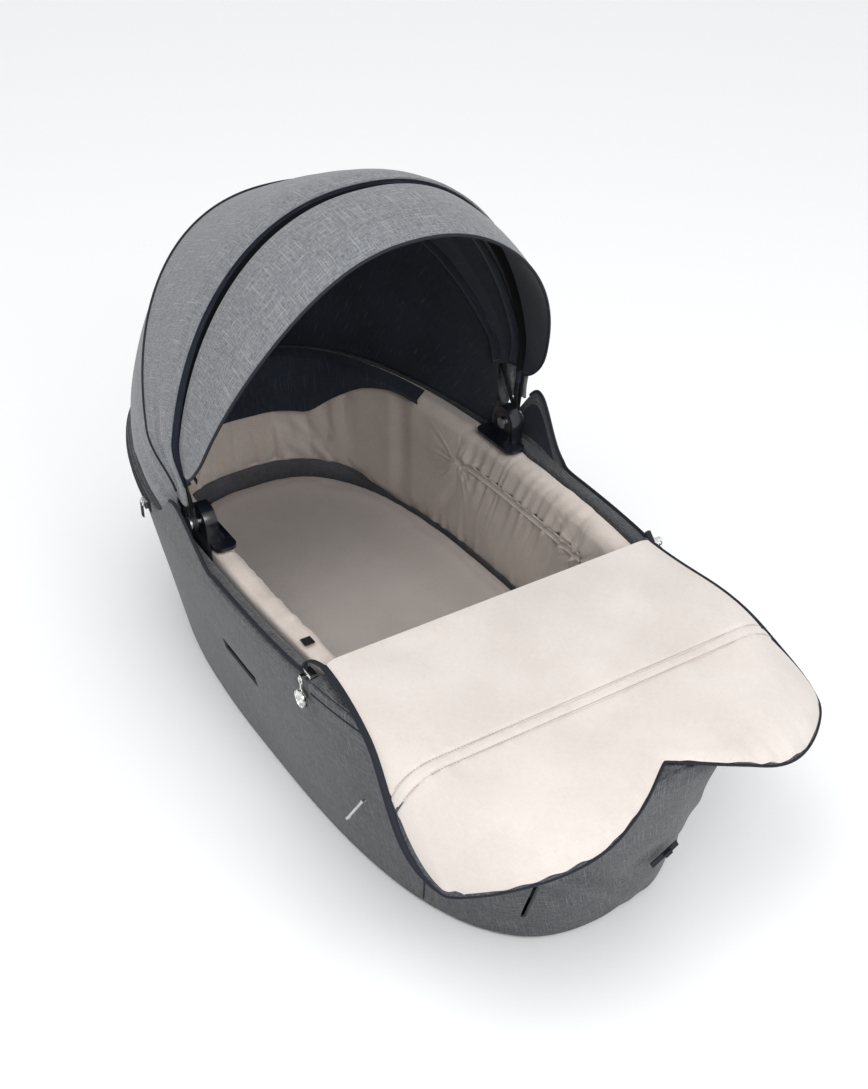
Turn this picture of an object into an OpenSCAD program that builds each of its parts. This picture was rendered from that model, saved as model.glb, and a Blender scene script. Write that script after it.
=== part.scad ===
// Soft-covered carrycot of a baby stroller, with a folding hood and an apron.
// X runs across, +Y towards the head end, Z up from the surface it stands on.

/* [Cot body] */
// Half width of the rim
rim_half_w = 206; // [180:1:250]
// Half length of the rim
rim_half_l = 434; // [390:1:520]
// Height of the rim line
rim_z = 229; // [205:1:275]
// How much the side walls lean out from base to rim
side_flare = 42; // [30:1:50]
// How much the end walls lean out from base to rim
end_flare = 63; // [50:1:75]
// Squareness of the rim outline
rim_n = 2.53; // [2.3:0.05:2.9]
// Squareness of the base outline
base_n = 2.8; // [2.5:0.05:3.2]
// Thickness of the outer cloth cover
cover_t = 2.5; // [2:0.1:3]
// Height of the cover's hem above the floor
hem_z = 4; // [3:0.5:6]
// Width of the rolled edge, from outside to inside
roll_w = 16.5; // [16:0.5:18]
// Height of the raised wing on the left
wing_left = 50; // [20:1:52]
// Height of the raised wing on the right
wing_right = 62; // [20:1:64]
// Diameter of the rim tube
tube_d = 9; // [7:0.2:9.4]

/* [Base and mattress] */
// Wall of the moulded base tray
tray_t = 3; // [2:0.5:4]
// Height of the tray's side wall
tray_h = 46; // [30:1:50]
// Height of the feet
foot_h = 6; // [5.5:0.5:8]
// Radius of a foot
foot_r = 14; // [10:1:20]
// Thickness of the mattress board
board_t = 6; // [4:0.5:8]
// Thickness of the mattress
mattress_t = 34; // [25:1:36]
// Height of the mattress board's underside
board_z = 40; // [36:1:42]

/* [Padded liner] */
// Thickness of the liner at its foot
liner_foot_t = 6; // [4:0.5:7]
// Width of the liner's rolled crest
crest_w = 21; // [16:1:24]
// Height of the crest above the rim line
crest_rise = 8; // [4:1:10]
// Gap between the liner's crest and the rolled edge
crest_gap = 5; // [4.5:0.5:6]

/* [Hood] */
// Distance of the hood's hinge from the middle, towards the head
hinge_y = 73; // [50:1:90]
// Height of the hood's hinge above the rim line
hinge_rise = 30; // [28:1:36]
// Radius of a hinge pin
pin_r = 4; // [3:0.5:5]
// Running clearance of the hinge bores
pin_gap = 0.05; // [0.02:0.01:0.1]
// Reach of the main canopy from the hinge
main_reach = 307; // [280:1:350]
// Reach of the rear canopy's seam from the hinge
rear_reach = 302; // [275:1:345]
// Reach of the visor from the hinge
visor_reach = 308; // [280:1:350]
// Angle of the main canopy's lip
lip_angle = 90; // [85:1:100]
// Angle of the main bow
main_angle = 95; // [93:1:106]
// Angle of the rear bow
rear_angle = 125.5; // [120:0.5:135]
// Angle of the visor's front edge
visor_front = 66; // [60:0.5:70]
// Angle of the visor's back edge
visor_back = 87; // [84:0.5:87.5]
// Thickness of the hood's outer cloth
hood_t = 2.4; // [2:0.1:3]
// Thickness of the hood's lining
lining_t = 1.6; // [1:0.1:2]
// Half thickness of a bow strip
bow_a = 1.1; // [0.8:0.1:1.1]
// Half width of a bow strip
bow_b = 4; // [3:0.5:4]

/* [Apron] */
// Distance of the fold line from the middle, towards the foot
fold_y = 173; // [150:1:200]
// Height of the fold line above the rim line
fold_rise = 20; // [16:1:26]
// Gap between the flap and the cover at the fold line
fold_inset = 17; // [16:1:40]
// How much wider the flap is at its lobes, on each side
lobe_flare = 22; // [5:1:26]
// Length of the flap in the middle
flap_l = 252; // [220:1:280]
// How far the lobes reach past the middle
lobe_extra = 62; // [30:1:80]
// Thickness of the flap's lining layer
flap_lining_t = 3; // [2:0.5:4]
// Thickness of the flap's outer layer
flap_outer_t = 2; // [1.5:0.5:3]

/* [Adapter sockets] */
// Height of the sockets' middle
socket_z = 131; // [125:1:150]
// Length of the slot for the stroller's adapter tongue
slot_l = 70; // [50:1:76]
// Height of that slot
slot_h = 12; // [8:0.5:14]
// Depth of the socket
socket_depth = 9; // [7:0.5:9.5]
// Travel of a catch
catch_travel = 6; // [4:0.5:8]

/* [Hidden] */

LEFT = -1;
RIGHT = 1;
SIDES = [LEFT, RIGHT];
GAP = 0.4;
ring_pts = 56;
hinge_z = rim_z + hinge_rise;
arc_n = 2.24;
mattress_top = board_z + board_t + mattress_t;

// Colours
c_cloth = "#55575b";
c_hood = "#6a6d72";
c_navy = "#14161f";
c_beige = "#c8c0b6";
c_taupe = "#8b827b";
c_pale = "#ddd7cc";
c_steel = "#c9ccd0";
c_plastic = "#191b22";

function lerp(a, b, k) = a + (b - a) * k;
function clamp(v, lo, hi) = min(max(v, lo), hi);
function smooth(v) = let(k = clamp(v, 0, 1)) k * k * (3 - 2 * k);
function spow(v, e) = v < 0 ? -pow(-v, e) : pow(v, e);
function unit(v) = v / norm(v);

// One ring of points on a rounded-rectangle outline
function oval(hx, hy, n, z) =
    [for (i = [0:ring_pts - 1]) let(t = 360 * i / ring_pts)
        [hx * spow(cos(t), 2 / n), hy * spow(sin(t), 2 / n), z]];

// How far up the cover's wall a height is, 0 at the hem and 1 at the rim
function up(z) = clamp((z - hem_z) / (rim_z - hem_z), 0, 1);
function wall_w(z) = rim_half_w - side_flare * (1 - up(z));
function wall_l(z) = rim_half_l - end_flare * (1 - up(z));
function wall_n(z) = lerp(base_n, rim_n, up(z));

// A ring on the cover's wall at a height, set in from its outside
function wall_ring(z, inset) = oval(wall_w(z) - inset, wall_l(z) - inset, wall_n(z), z);

// Where a point of the plan lies against the rim outline, 1 on it and more outside
function rim_share(x, y) =
    pow(pow(abs(x) / rim_half_w, rim_n) + pow(abs(y) / rim_half_l, rim_n), 1 / rim_n);

// Half width of the rim outline at a distance from the middle
function rim_x(y, inset) =
    (rim_half_w - inset) * pow(1 - pow(abs(y) / (rim_half_l - inset), rim_n), 1 / rim_n);

// Closed solid through rings of points: a tube with two caps, or a loop without caps
module skin(rings, loop = false) {
    n = len(rings[0]);
    m = len(rings);
    side = [for (i = [0:m - (loop ? 1 : 2)], j = [0:n - 1], h = [0, 1])
        let(a = i * n + j, b = i * n + (j + 1) % n,
            c = ((i + 1) % m) * n + j, d = ((i + 1) % m) * n + (j + 1) % n)
        h == 0 ? [a, c, b] : [b, c, d]];
    caps = loop ? [] : [[for (j = [0:n - 1]) j], [for (j = [n - 1:-1:0]) (m - 1) * n + j]];
    polyhedron([for (r = rings, p = r) p], concat(side, caps));
}

// Closed solid between two equal grids of points
module sheet(front, back) {
    m = len(front);
    n = len(front[0]);
    f = function(i, j) i * n + j;
    g = function(i, j) m * n + i * n + j;
    top = [for (i = [0:m - 2], j = [0:n - 2], h = [0, 1])
        h == 0 ? [f(i, j), f(i, j + 1), f(i + 1, j)] : [f(i, j + 1), f(i + 1, j + 1), f(i + 1, j)]];
    low = [for (i = [0:m - 2], j = [0:n - 2], h = [0, 1])
        h == 0 ? [g(i, j), g(i + 1, j), g(i, j + 1)] : [g(i, j + 1), g(i + 1, j), g(i + 1, j + 1)]];
    ends = [for (j = [0:n - 2], e = [0, 1], h = [0, 1])
        let(i = e * (m - 1), a = f(i, j), b = f(i, j + 1), c = g(i, j), d = g(i, j + 1))
        e == 0 ? (h == 0 ? [a, c, b] : [b, c, d]) : (h == 0 ? [a, b, c] : [b, d, c])];
    sides = [for (i = [0:m - 2], e = [0, 1], h = [0, 1])
        let(j = e * (n - 1), a = f(i, j), b = f(i + 1, j), c = g(i, j), d = g(i + 1, j))
        e == 0 ? (h == 0 ? [a, b, c] : [b, d, c]) : (h == 0 ? [a, c, b] : [b, c, d])];
    polyhedron([for (r = concat(front, back), p = r) p], concat(top, low, ends, sides));
}

// Strip of half sizes a (across) and b (along the side direction) swept on a path
module strip(path, side, a, b, sides = 8, loop = false) {
    n = len(path);
    rings = [for (i = [0:n - 1])
        let(p = path[i],
            q = loop ? path[(i + 1) % n] - path[(i + n - 1) % n]
                     : path[min(i + 1, n - 1)] - path[max(i - 1, 0)],
            w = unit(cross(side, unit(q))))
        [for (k = [0:sides - 1]) let(t = 360 * k / sides)
            p + w * a * cos(t) + side * b * sin(t)]];
    skin(rings, loop);
}

// ---- base ----
tray_gap = 5;
tray_half_w = rim_half_w - side_flare - tray_gap;
tray_half_l = rim_half_l - end_flare - tray_gap;
FEET = [for (x = SIDES, y = SIDES) [x * (tray_half_w - 45), y * (tray_half_l - 90), 0]];
screw_r = 2;

module tray_outline(inset) {
    polygon([for (p = oval(tray_half_w - inset, tray_half_l - inset, base_n, 0)) [p[0], p[1]]]);
}
module base_tray() {
    color(c_plastic) difference() {
        translate([0, 0, foot_h]) linear_extrude(tray_h) tray_outline(0);
        translate([0, 0, foot_h + tray_t]) linear_extrude(tray_h) tray_outline(tray_t);
        for (p = FEET) translate(p) cylinder(h = foot_h + 2 * tray_t, r = screw_r + 0.3, $fn = 24);
    }
}
module base_feet() {
    color("#101010") cylinder(h = foot_h, r = foot_r, $fn = 40);
    color("#101010") for (p = FEET) translate(p) difference() {
        cylinder(h = foot_h, r = foot_r, $fn = 40);
        translate([0, 0, -1]) cylinder(h = foot_h + 2, r = screw_r + 0.3, $fn = 24);
        translate([0, 0, -1]) cylinder(h = 3.5, r = 2.2 * screw_r, $fn = 24);
    }
}
module foot_screws() {
    color(c_steel) for (p = FEET) translate(p + [0, 0, 2.5]) {
        cylinder(h = foot_h + tray_t, r = screw_r, $fn = 24);
        translate([0, 0, -1]) cylinder(h = 1, r = 2 * screw_r, $fn = 24);
    }
}

// ---- mattress ----
module mattress_board() {
    color("#a98e66") translate([0, 0, board_z]) linear_extrude(board_t) tray_outline(tray_t + 1);
    color("#a98e66") for (y = [-2, 0, 2]) translate([0, y * tray_half_l / 5, foot_h + tray_t])
        translate([-tray_half_w / 2, -4, 0]) cube([tray_half_w, 8, board_z - foot_h - tray_t]);
}
MATTRESS_STEPS = [[0, 5], [5, 0.6], [mattress_t / 2, 0], [mattress_t - 8, 1], [mattress_t - 2, 6],
                  [mattress_t, 14]];
mattress_half_w = tray_half_w - tray_t - 1;
mattress_half_l = tray_half_l - tray_t - 1;
module mattress() {
    color(c_taupe) skin([for (s = MATTRESS_STEPS)
        oval(mattress_half_w - s[1], mattress_half_l - s[1], base_n, board_z + board_t + s[0])]);
}

// ---- linings ----
// Height of the padded liner's hem: low at the sides and the foot, higher at the head
head_hem = 24;
liner_low = foot_h + tray_h + 6;
function liner_hem(y) = mattress_top + 1 + head_hem * smooth((y - 200) / 110);
crest_out = roll_w + crest_gap;
// Half-size steps of the liner: [share of its height, inset of the outside, inset of the inside]
LINER_OUT = [[0, 0], [0.35, 0.12], [0.72, 0.52], [0.9, 0.9], [1, 1]];
function liner_out_w(k) = lerp(wall_w(mattress_top) - 12, rim_half_w - crest_out, k);
function liner_out_l(k) = lerp(wall_l(mattress_top) - 12, rim_half_l - crest_out, k);
function liner_ring(w, l, k, z_share) =
    [for (p = oval(w, l, lerp(base_n, rim_n, k), 0))
        [p[0], p[1], lerp(liner_hem(p[1]), rim_z - 2, z_share)]];
// The crest lies lower where the apron covers it
crest_under = 2.5;
function crest_z(y, share) =
    rim_z + lerp(crest_under, crest_rise, smooth((y + fold_y) / 60)) * share;
function raised(ring, share) = [for (p = ring) [p[0], p[1], crest_z(p[1], share)]];
module padded_liner() {
    out = [for (s = LINER_OUT) liner_ring(liner_out_w(s[1]), liner_out_l(s[1]), s[1], s[0])];
    crest_in_w = rim_half_w - crest_out - crest_w;
    crest_in_l = rim_half_l - crest_out - crest_w;
    top = [for (s = [[0.12, 0.7], [0.4, 1], [0.75, 0.85]])
        raised(oval(lerp(rim_half_w - crest_out, crest_in_w, s[0]),
                    lerp(rim_half_l - crest_out, crest_in_l, s[0]), rim_n, 0), s[1])];
    low_w = liner_out_w(0) - liner_foot_t;
    low_l = liner_out_l(0) - liner_foot_t;
    inner = [for (k = [0.96, 0.7, 0.35, 0])
        liner_ring(lerp(low_w, crest_in_w, k), lerp(low_l, crest_in_l, k), k, k)];
    color(c_beige) skin(concat(out, top, inner), loop = true);
}
// Grey lining between the mattress and the liner's hem
module grey_lining() {
    w = liner_out_w(0) - liner_foot_t - 0.5;
    l = liner_out_l(0) - liner_foot_t - 0.5;
    out = [for (z = [0, 1]) [for (p = oval(w, l, base_n, 0))
        [p[0], p[1], z == 0 ? liner_low : liner_hem(p[1]) + 5]]];
    inn = [for (z = [1, 0]) [for (p = oval(w - 1.2, l - 1.2, base_n, 0))
        [p[0], p[1], z == 0 ? liner_low : liner_hem(p[1]) + 5]]];
    color("#46484c") skin(concat(out, inn), loop = true);
}
// Raised seam strips along the inner sides
strip_y = [-97, 128];
strip_z = rim_z - 42;
function liner_in_w(z) = let(k = (z - liner_hem(0)) / (rim_z - 2 - liner_hem(0)))
    lerp(liner_out_w(0) - liner_foot_t, rim_half_w - crest_out - crest_w, k);
function liner_in_x(y, z) = let(k = (z - liner_hem(y)) / (rim_z - 2 - liner_hem(y)),
    l = lerp(liner_out_l(0) - liner_foot_t, rim_half_l - crest_out - crest_w, k))
    liner_in_w(z) * pow(1 - pow(abs(y) / l, lerp(base_n, rim_n, k)), 1 / lerp(base_n, rim_n, k));
module liner_seam_strips() {
    color(c_beige) for (s = SIDES)
        strip([for (i = [0:8]) let(y = lerp(strip_y[0], strip_y[1], i / 8))
            [s * (liner_in_x(y, strip_z) - 2.2), y, strip_z]], [0, 0, 1], 1.5, 7);
}
grommet_y = -126;
module liner_grommet() {
    color(c_navy) translate([-(rim_half_w - crest_out - crest_w / 2), grommet_y, rim_z + crest_rise + 0.2])
        difference() {
            translate([-5, -5, 0]) cube([10, 10, 1.5]);
            translate([-3, -3, -1]) cube([6, 6, 4]);
        }
}

// ---- outer cover ----
// The wing is a raised tongue of the cover beside each hinge
function wing_peak(s) = s == LEFT ? wing_left : wing_right;
function wing_mid(s) = s == LEFT ? 80 : 56;
function wing_width(s) = s == LEFT ? 92 : 100;
function wing(p) = let(s = p[0] < 0 ? LEFT : RIGHT, d = abs(p[1] - wing_mid(s)) / wing_width(s))
    abs(p[0]) < rim_half_w / 2 ? 0 : wing_peak(s) * pow(smooth(1 - d), 1.5);
wing_lean = 4;
// Outer wall rings, rolled edge and inner wall rings of the cover's section
function edge_ring(inset, z, share) =
    [for (p = oval(rim_half_w - inset, rim_half_l - inset, rim_n, z))
        let(w = wing(p) * share, s = p[0] < 0 ? LEFT : RIGHT)
        [p[0] + s * wing_lean * w / wing_left, p[1], p[2] + w]];
// Foot vents: two upright slits and one zipped slot
vent_x = 88;
vent_z = [39, 96];
side_slot_l = slot_l + 4;
module outer_cover() {
    low = rim_z - 19;
    color(c_cloth) difference() {
        skin(concat(
            [for (z = [hem_z, lerp(hem_z, low, 0.25), lerp(hem_z, low, 0.5), lerp(hem_z, low, 0.75)])
                wall_ring(z, 0)],
            [edge_ring(0, rim_z - 8, 0), edge_ring(0, rim_z - 1, 0.55), edge_ring(0, rim_z + 1, 1),
             edge_ring(1.6, rim_z + 2, 1), edge_ring(2.9, rim_z + 2, 0.55),
             edge_ring(4, rim_z + 3.5, 0), edge_ring(roll_w - 4, rim_z + 3.5, 0),
             edge_ring(roll_w, rim_z, 0), edge_ring(roll_w, low, 0),
             edge_ring(roll_w - cover_t, low, 0), edge_ring(roll_w - cover_t, rim_z - 1.2, 0),
             edge_ring(roll_w - 5, rim_z + 0.8, 0), edge_ring(5, rim_z + 0.8, 0),
             edge_ring(cover_t, rim_z - 2, 0)],
            [for (z = [lerp(hem_z, low, 0.75), lerp(hem_z, low, 0.5), lerp(hem_z, low, 0.25), hem_z])
                wall_ring(z, cover_t)]), loop = true);
        for (s = SIDES) translate([s * wall_w(socket_z), 0, socket_z])
            cube([30, side_slot_l, slot_h + 2], center = true);
        for (s = SIDES) translate([s * vent_x - 2, -rim_half_l, vent_z[0]])
            cube([4, rim_half_l - wall_l(0) + 60, vent_z[1] - vent_z[0]]);
    }
}

// ---- hidden frame ----
tube_inset = roll_w / 2 + 0.6;
tube_z = rim_z - 6;
module rim_tube() {
    path = [for (p = oval(rim_half_w - tube_inset, rim_half_l - tube_inset, rim_n, tube_z)) p];
    color(c_steel) strip(path, [0, 0, 1], tube_d / 2, tube_d / 2, loop = true);
}
// Bent strips that follow the cover's wall: a bar under the rim and two posts down to the tray
hoop_half_w = 75;
hoop_inset = 8;
hoop_a = 1.5;
hoop_b = 6;
hoop_top = rim_z - 28;
function hoop_point(s, x, z) =
    let(n = wall_n(z), w = wall_w(z) - hoop_inset, l = wall_l(z) - hoop_inset)
    [x, s * l * pow(1 - pow(abs(x) / w, n), 1 / n), z];
module hoop(s) {
    color(c_steel) {
        strip([for (i = [-6:6]) hoop_point(s, hoop_half_w * i / 6, hoop_top)], [0, 0, 1], hoop_a, hoop_b);
        for (x = SIDES) strip([for (i = [0:4]) hoop_point(s, x * (hoop_half_w - hoop_b),
            lerp(foot_h + tray_h + GAP, hoop_top, i / 4))], [1, 0, 0], hoop_a, hoop_b);
    }
}
module head_hoop() hoop(1);
module foot_hoop() hoop(-1);

// ---- hinges ----
bracket_w = 38;
bracket_t = 13;
bracket_r = bracket_w / 2;
tongue_out = rim_x(hinge_y + bracket_r, roll_w) - GAP;
tongue_in = rim_x(hinge_y - bracket_r, crest_out) + GAP;
column_in = tongue_out - bracket_t;
bracket_base = rim_z + crest_rise + GAP;
plate_t = 2;
plate_top = rim_z - 22;
rivet_r = 1.5;
rivet_y = [-9, 9];
rivet_z = hinge_z - 11;
flange_t = 4;
flange_l = 66;
flange_in = rim_half_w - crest_out - crest_w - 3;

module rounded_plate(l, w, r, h) {
    linear_extrude(h) {
        translate([r, 0]) square([w - 2 * r, l]);
        translate([0, r]) square([w, l - 2 * r]);
        for (x = [r, w - r], y = [r, l - r]) translate([x, y]) circle(r, $fn = 40);
    }
}
module along_x(x0, x1, y, z, r) {
    translate([x0, y, z]) rotate([0, 90, 0]) cylinder(h = x1 - x0, r = r, $fn = 64);
}
module bracket() {
    difference() {
        union() {
            translate([column_in, hinge_y - bracket_r, bracket_base])
                cube([bracket_t, bracket_w, hinge_z - bracket_base]);
            along_x(column_in, tongue_out, hinge_y, hinge_z, bracket_r);
            translate([tongue_in, hinge_y - bracket_r, plate_top - 12])
                cube([tongue_out - tongue_in, bracket_w, bracket_base - plate_top + 12]);
            translate([flange_in, hinge_y - flange_l / 2, bracket_base])
                rounded_plate(flange_l, tongue_in - flange_in, 8, flange_t);
        }
        along_x(column_in - 1, tongue_out + 1, hinge_y, hinge_z, pin_r + pin_gap);
        for (y = rivet_y) along_x(column_in - 1, column_in + 6, hinge_y + y, rivet_z, rivet_r + 0.1);
    }
}
module bracket_left() color(c_plastic) mirror([1, 0, 0]) bracket();
module bracket_right() color(c_plastic) bracket();
module bracket_screws() {
    color(c_steel) for (s = SIDES, y = rivet_y) scale([s, 1, 1]) {
        along_x(column_in, column_in + 5, hinge_y + y, rivet_z, rivet_r);
        along_x(column_in - 1, column_in, hinge_y + y, rivet_z, 2 * rivet_r);
    }
}
// Plate from the tray's side up to the bracket's tongue, bent in at its top
plate_inset = 5;
module side_plate() {
    span = rim_x(hinge_y + bracket_r, 0) / rim_half_w;
    bend_z = plate_top - 40;
    path = [for (z = [foot_h + 10, lerp(foot_h + 10, bend_z, 0.5), bend_z])
                [wall_w(z) * span - plate_inset, hinge_y, z],
            [tongue_out + plate_t / 2 + GAP, hinge_y, plate_top - 12],
            [tongue_out + plate_t / 2 + GAP, hinge_y, plate_top]];
    strip(path, [0, 1, 0], plate_t / 2, bracket_r - 7, sides = 4);
}
module side_plate_left() color(c_steel) mirror([1, 0, 0]) side_plate();
module side_plate_right() color(c_steel) side_plate();
// Three arms turn on each pin, side by side
arm_gap = 0.4;
function arm_x(i) = tongue_out + arm_gap + bow_a + i * (2 * bow_a + arm_gap);
pin_head_t = 2;
pin_end = arm_x(2) + bow_a + arm_gap;
module hinge_pins() {
    color(c_steel) for (s = SIDES) scale([s, 1, 1]) {
        along_x(column_in - 1, pin_end, hinge_y, hinge_z, pin_r);
        along_x(pin_end, pin_end + pin_head_t, hinge_y, hinge_z, 1.8 * pin_r);
        along_x(column_in - 2.4, column_in - GAP, hinge_y, hinge_z, 1.6 * pin_r);
    }
}

// ---- adapter sockets ----
socket_h = slot_h + 8;
socket_y = [-slot_l / 2 - 5, slot_l / 2 + 22];
socket_out = wall_w(socket_z - socket_h / 2) - cover_t - 1.2;
socket_t = socket_depth + 2.5;
catch_h = 8;
catch_l = 18;
catch_y = slot_l / 2 - catch_travel;
spring_r = 3;
module adapter_socket() {
    difference() {
        translate([socket_out - socket_t, socket_y[0], socket_z - socket_h / 2])
            cube([socket_t, socket_y[1] - socket_y[0], socket_h]);
        translate([socket_out - socket_depth, -slot_l / 2, socket_z - slot_h / 2])
            cube([socket_depth + 1, slot_l, slot_h]);
        translate([socket_out - socket_depth, 0, socket_z - catch_h / 2 - 0.3])
            cube([socket_depth + 1, socket_y[1] - 2, catch_h + 0.6]);
    }
}
module adapter_socket_left() color("#2a2d31") mirror([1, 0, 0]) adapter_socket();
module adapter_socket_right() color("#2a2d31") adapter_socket();
module sprung_catch() {
    difference() {
        translate([socket_out - socket_depth + 0.3, catch_y, socket_z - catch_h / 2])
            cube([socket_depth - 0.8, catch_l, catch_h]);
        translate([socket_out - 0.5, catch_y, socket_z - catch_h]) rotate([0, 0, 45])
            cube([9, 9, 4 * catch_h], center = true);
    }
}
module catch_left() color("#b5482f") mirror([1, 0, 0]) sprung_catch();
module catch_right() color("#b5482f") sprung_catch();
module catch_springs() {
    y0 = catch_y + catch_l + 0.2;
    color(c_steel) for (s = SIDES)
        translate([s * (socket_out - socket_depth / 2), y0, socket_z]) rotate([-90, 0, 0])
            difference() {
                cylinder(h = socket_y[1] - 2.2 - y0, r = spring_r, $fn = 24);
                translate([0, 0, -1]) cylinder(h = 40, r = spring_r - 0.7, $fn = 24);
            }
}

// ---- zips and trim of the cover ----
tape_t = 0.6;
tape_lift = 0.4 + tape_t;
zip_y = [-fold_y, 12];
module rim_zip_tape() {
    z = rim_z + 3.5 + tape_lift;
    color(c_navy) for (s = SIDES)
        strip([for (i = [0:10]) let(y = lerp(zip_y[0], zip_y[1], i / 10)) [s * rim_x(y, 7), y, z]],
              [0, 0, 1], 2.5, tape_t);
}
module hood_zip_tape() {
    ring = oval(rim_half_w + tape_lift, rim_half_l + tape_lift, rim_n, rim_z - 5);
    half = ring_pts / 2;
    first = 3;
    color(c_navy) strip([for (i = [first:half - first]) ring[i]], [0, 0, 1], tape_t, 4);
}
slider_l = 13;
slider_z = rim_z + 3.5 + 2 * tape_lift + 0.4;
apron_slider_y = -fold_y + slider_l / 2 + 1;
pull_r = 8;
function slider_x(s, y) = s * rim_x(y, 6);
pull_gap = 3.2;
function pull_x(s, y) = s * (rim_x(y, 0) + pull_gap + 1);
pull_z = rim_z + 6;
// Zip slider with a lug over the rim's edge that carries the pull
module zip_slider(s, y) {
    x = slider_x(s, y);
    px = pull_x(s, y);
    color(c_steel) {
        translate([x - 3.5, y - slider_l / 2, slider_z]) cube([7, slider_l, 4]);
        translate([min(x, px), y - 2, slider_z]) cube([abs(px - x), 4, 3]);
        translate([px, y - 2, pull_z - 1]) rotate([-90, 0, 0]) cylinder(h = 4, r = 1, $fn = 24);
        translate([px - 0.6, y - 2, pull_z - 1]) cube([1.2, 4, slider_z - pull_z + 2]);
    }
}
// Pull that hangs beside the rim: an eye over the lug, a link and a round charm
module zip_pull(s, y) {
    px = pull_x(s, y);
    color("#d8d8d6") translate([px, y, 0]) {
        for (e = [-1, 1]) translate([-0.8, e * 3.4 - 0.8, pull_z - 14]) cube([1.6, 1.6, 13]);
        for (e = [-1, 1]) translate([0, e * 3.4 - 0.8, pull_z - 1]) rotate([-90, 0, 0])
            cylinder(h = 1.6, r = 1.4, $fn = 24);
        translate([-0.8, -4.2, pull_z - 16]) cube([1.6, 8.4, 2.5]);
        translate([-0.8, 0, pull_z - 16 - pull_r + 1]) rotate([0, 90, 0])
            cylinder(h = 1.6, r = pull_r, $fn = 48);
    }
}
module apron_zip_slider_left() zip_slider(LEFT, apron_slider_y);
module apron_zip_slider_right() zip_slider(RIGHT, apron_slider_y);
module apron_zip_pull_left() zip_pull(LEFT, apron_slider_y);
module apron_zip_pull_right() zip_pull(RIGHT, apron_slider_y);

// Slider and pull of the hood's zip, on the left
hood_slider_y = 182;
module hood_zip_slider() {
    x = -rim_x(hood_slider_y, 0) - 2 * tape_lift - 0.4;
    color(c_steel) {
        translate([x - 3, hood_slider_y - 6, rim_z - 9]) cube([3, 12, 8]);
        translate([x - 4.4, hood_slider_y - 1.5, rim_z - 3]) cube([2, 3, 1.4]);
        translate([x - 5, hood_slider_y - 1.5, rim_z - 2.3]) rotate([-90, 0, 0])
            cylinder(h = 3, r = 1, $fn = 24);
    }
}
module hood_zip_pull() {
    x = -rim_x(hood_slider_y, 0) - 2 * tape_lift - 5.4;
    color("#d8d8d6") translate([x, hood_slider_y, 0]) {
        for (e = [-1, 1]) translate([0, e * 3 - 0.8, rim_z - 2.3]) rotate([-90, 0, 0])
            cylinder(h = 1.6, r = 1.4, $fn = 24);
        for (e = [-1, 1]) translate([-0.8, e * 3 - 0.8, rim_z - 16]) cube([1.6, 1.6, 13.7]);
        translate([-0.8, -3.8, rim_z - 20]) cube([1.6, 7.6, 5]);
    }
}
// Metal loops on the side walls, towards the foot
loop_y = [-199, -231];
loop_z = [78, 128];
loop_r = 1.5;
module side_loops() {
    mid = (loop_y[0] + loop_y[1]) / 2;
    x = rim_x(loop_y[0], 0) * wall_w(loop_z[1]) / rim_half_w + 3;
    span = norm([loop_y[1] - loop_y[0], loop_z[1] - loop_z[0]]);
    tilt = atan2(loop_y[1] - loop_y[0], loop_z[1] - loop_z[0]);
    color(c_steel) for (s = SIDES)
        translate([s * x, mid, (loop_z[0] + loop_z[1]) / 2]) rotate([-tilt, 0, 0]) {
            translate([0, 0, -span / 2]) cylinder(h = span, r = loop_r, $fn = 24);
            for (e = [-1, 1]) translate([0, 0, e * (span / 2 - loop_r)]) rotate([0, -s * 90, 0])
                translate([0, 0, -loop_r]) cylinder(h = 2 + loop_r, r = loop_r, $fn = 24);
        }
}
vent_zip_x = 35;
vent_zip_z = 90;
vent_tilt = -28;
module foot_vent_zip() {
    y = -wall_l(vent_zip_z + 12) - 0.6;
    color(c_navy) translate([vent_zip_x, y, vent_zip_z]) rotate([0, vent_tilt, 0]) {
        translate([-16, -1, -4]) cube([32, 1, 8]);
        translate([-1, -3.5, -3]) cube([8, 2.5, 6]);
    }
}

// ---- hood ----
function bow_r(t, reach) = reach * pow(sin(t), 2 / arc_n);
foot_r0 = 30;
foot_r1 = 100;
tuck = 16;
// Point on a hood arc: t runs from the left foot to the right foot
function arc_point(t, angle, half_w, reach, pull) =
    let(r = bow_r(t, reach), k = 1 - smooth((r - foot_r0) / (foot_r1 - foot_r0)),
        x = half_w * spow(cos(t), 2 / arc_n))
    [-(x - sign(x) * pull * k), hinge_y - r * cos(angle), hinge_z + r * sin(angle)];
function arc_start(r, reach) = asin(pow(r / reach, arc_n / 2));
hood_cols = 22;
function arc_row(angle, half_w, reach, inset, r0, pull = tuck) =
    let(t0 = arc_start(r0, reach - inset))
    [for (j = [0:hood_cols]) arc_point(lerp(t0, 180 - t0, j / hood_cols), angle,
                                       half_w - inset, reach - inset, pull)];
main_half_w = rim_half_w + 10;
rear_half_w = rim_half_w + 9;
visor_half_w = rim_half_w - 5;
visor_back_w = main_half_w - 9;
canopy_foot = 34;
lining_foot = 62;
mid_angle = (main_angle + rear_angle) / 2;
module main_skin(inset, t, r0) {
    rows = [[lip_angle, main_half_w, main_reach], [main_angle, main_half_w, main_reach],
            [mid_angle, (main_half_w + rear_half_w) / 2 - 2, (main_reach + rear_reach) / 2 - 8],
            [rear_angle - 0.2, rear_half_w, rear_reach]];
    sheet([for (r = rows) arc_row(r[0], r[1], r[2], inset + t, r0)],
          [for (r = rows) arc_row(r[0], r[1], r[2], inset, r0)]);
}
bow_gap = 3.5;
bow_inset = hood_t + bow_gap + bow_a;
lining_inset = hood_t + 2 * bow_gap + 2 * bow_a;
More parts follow.
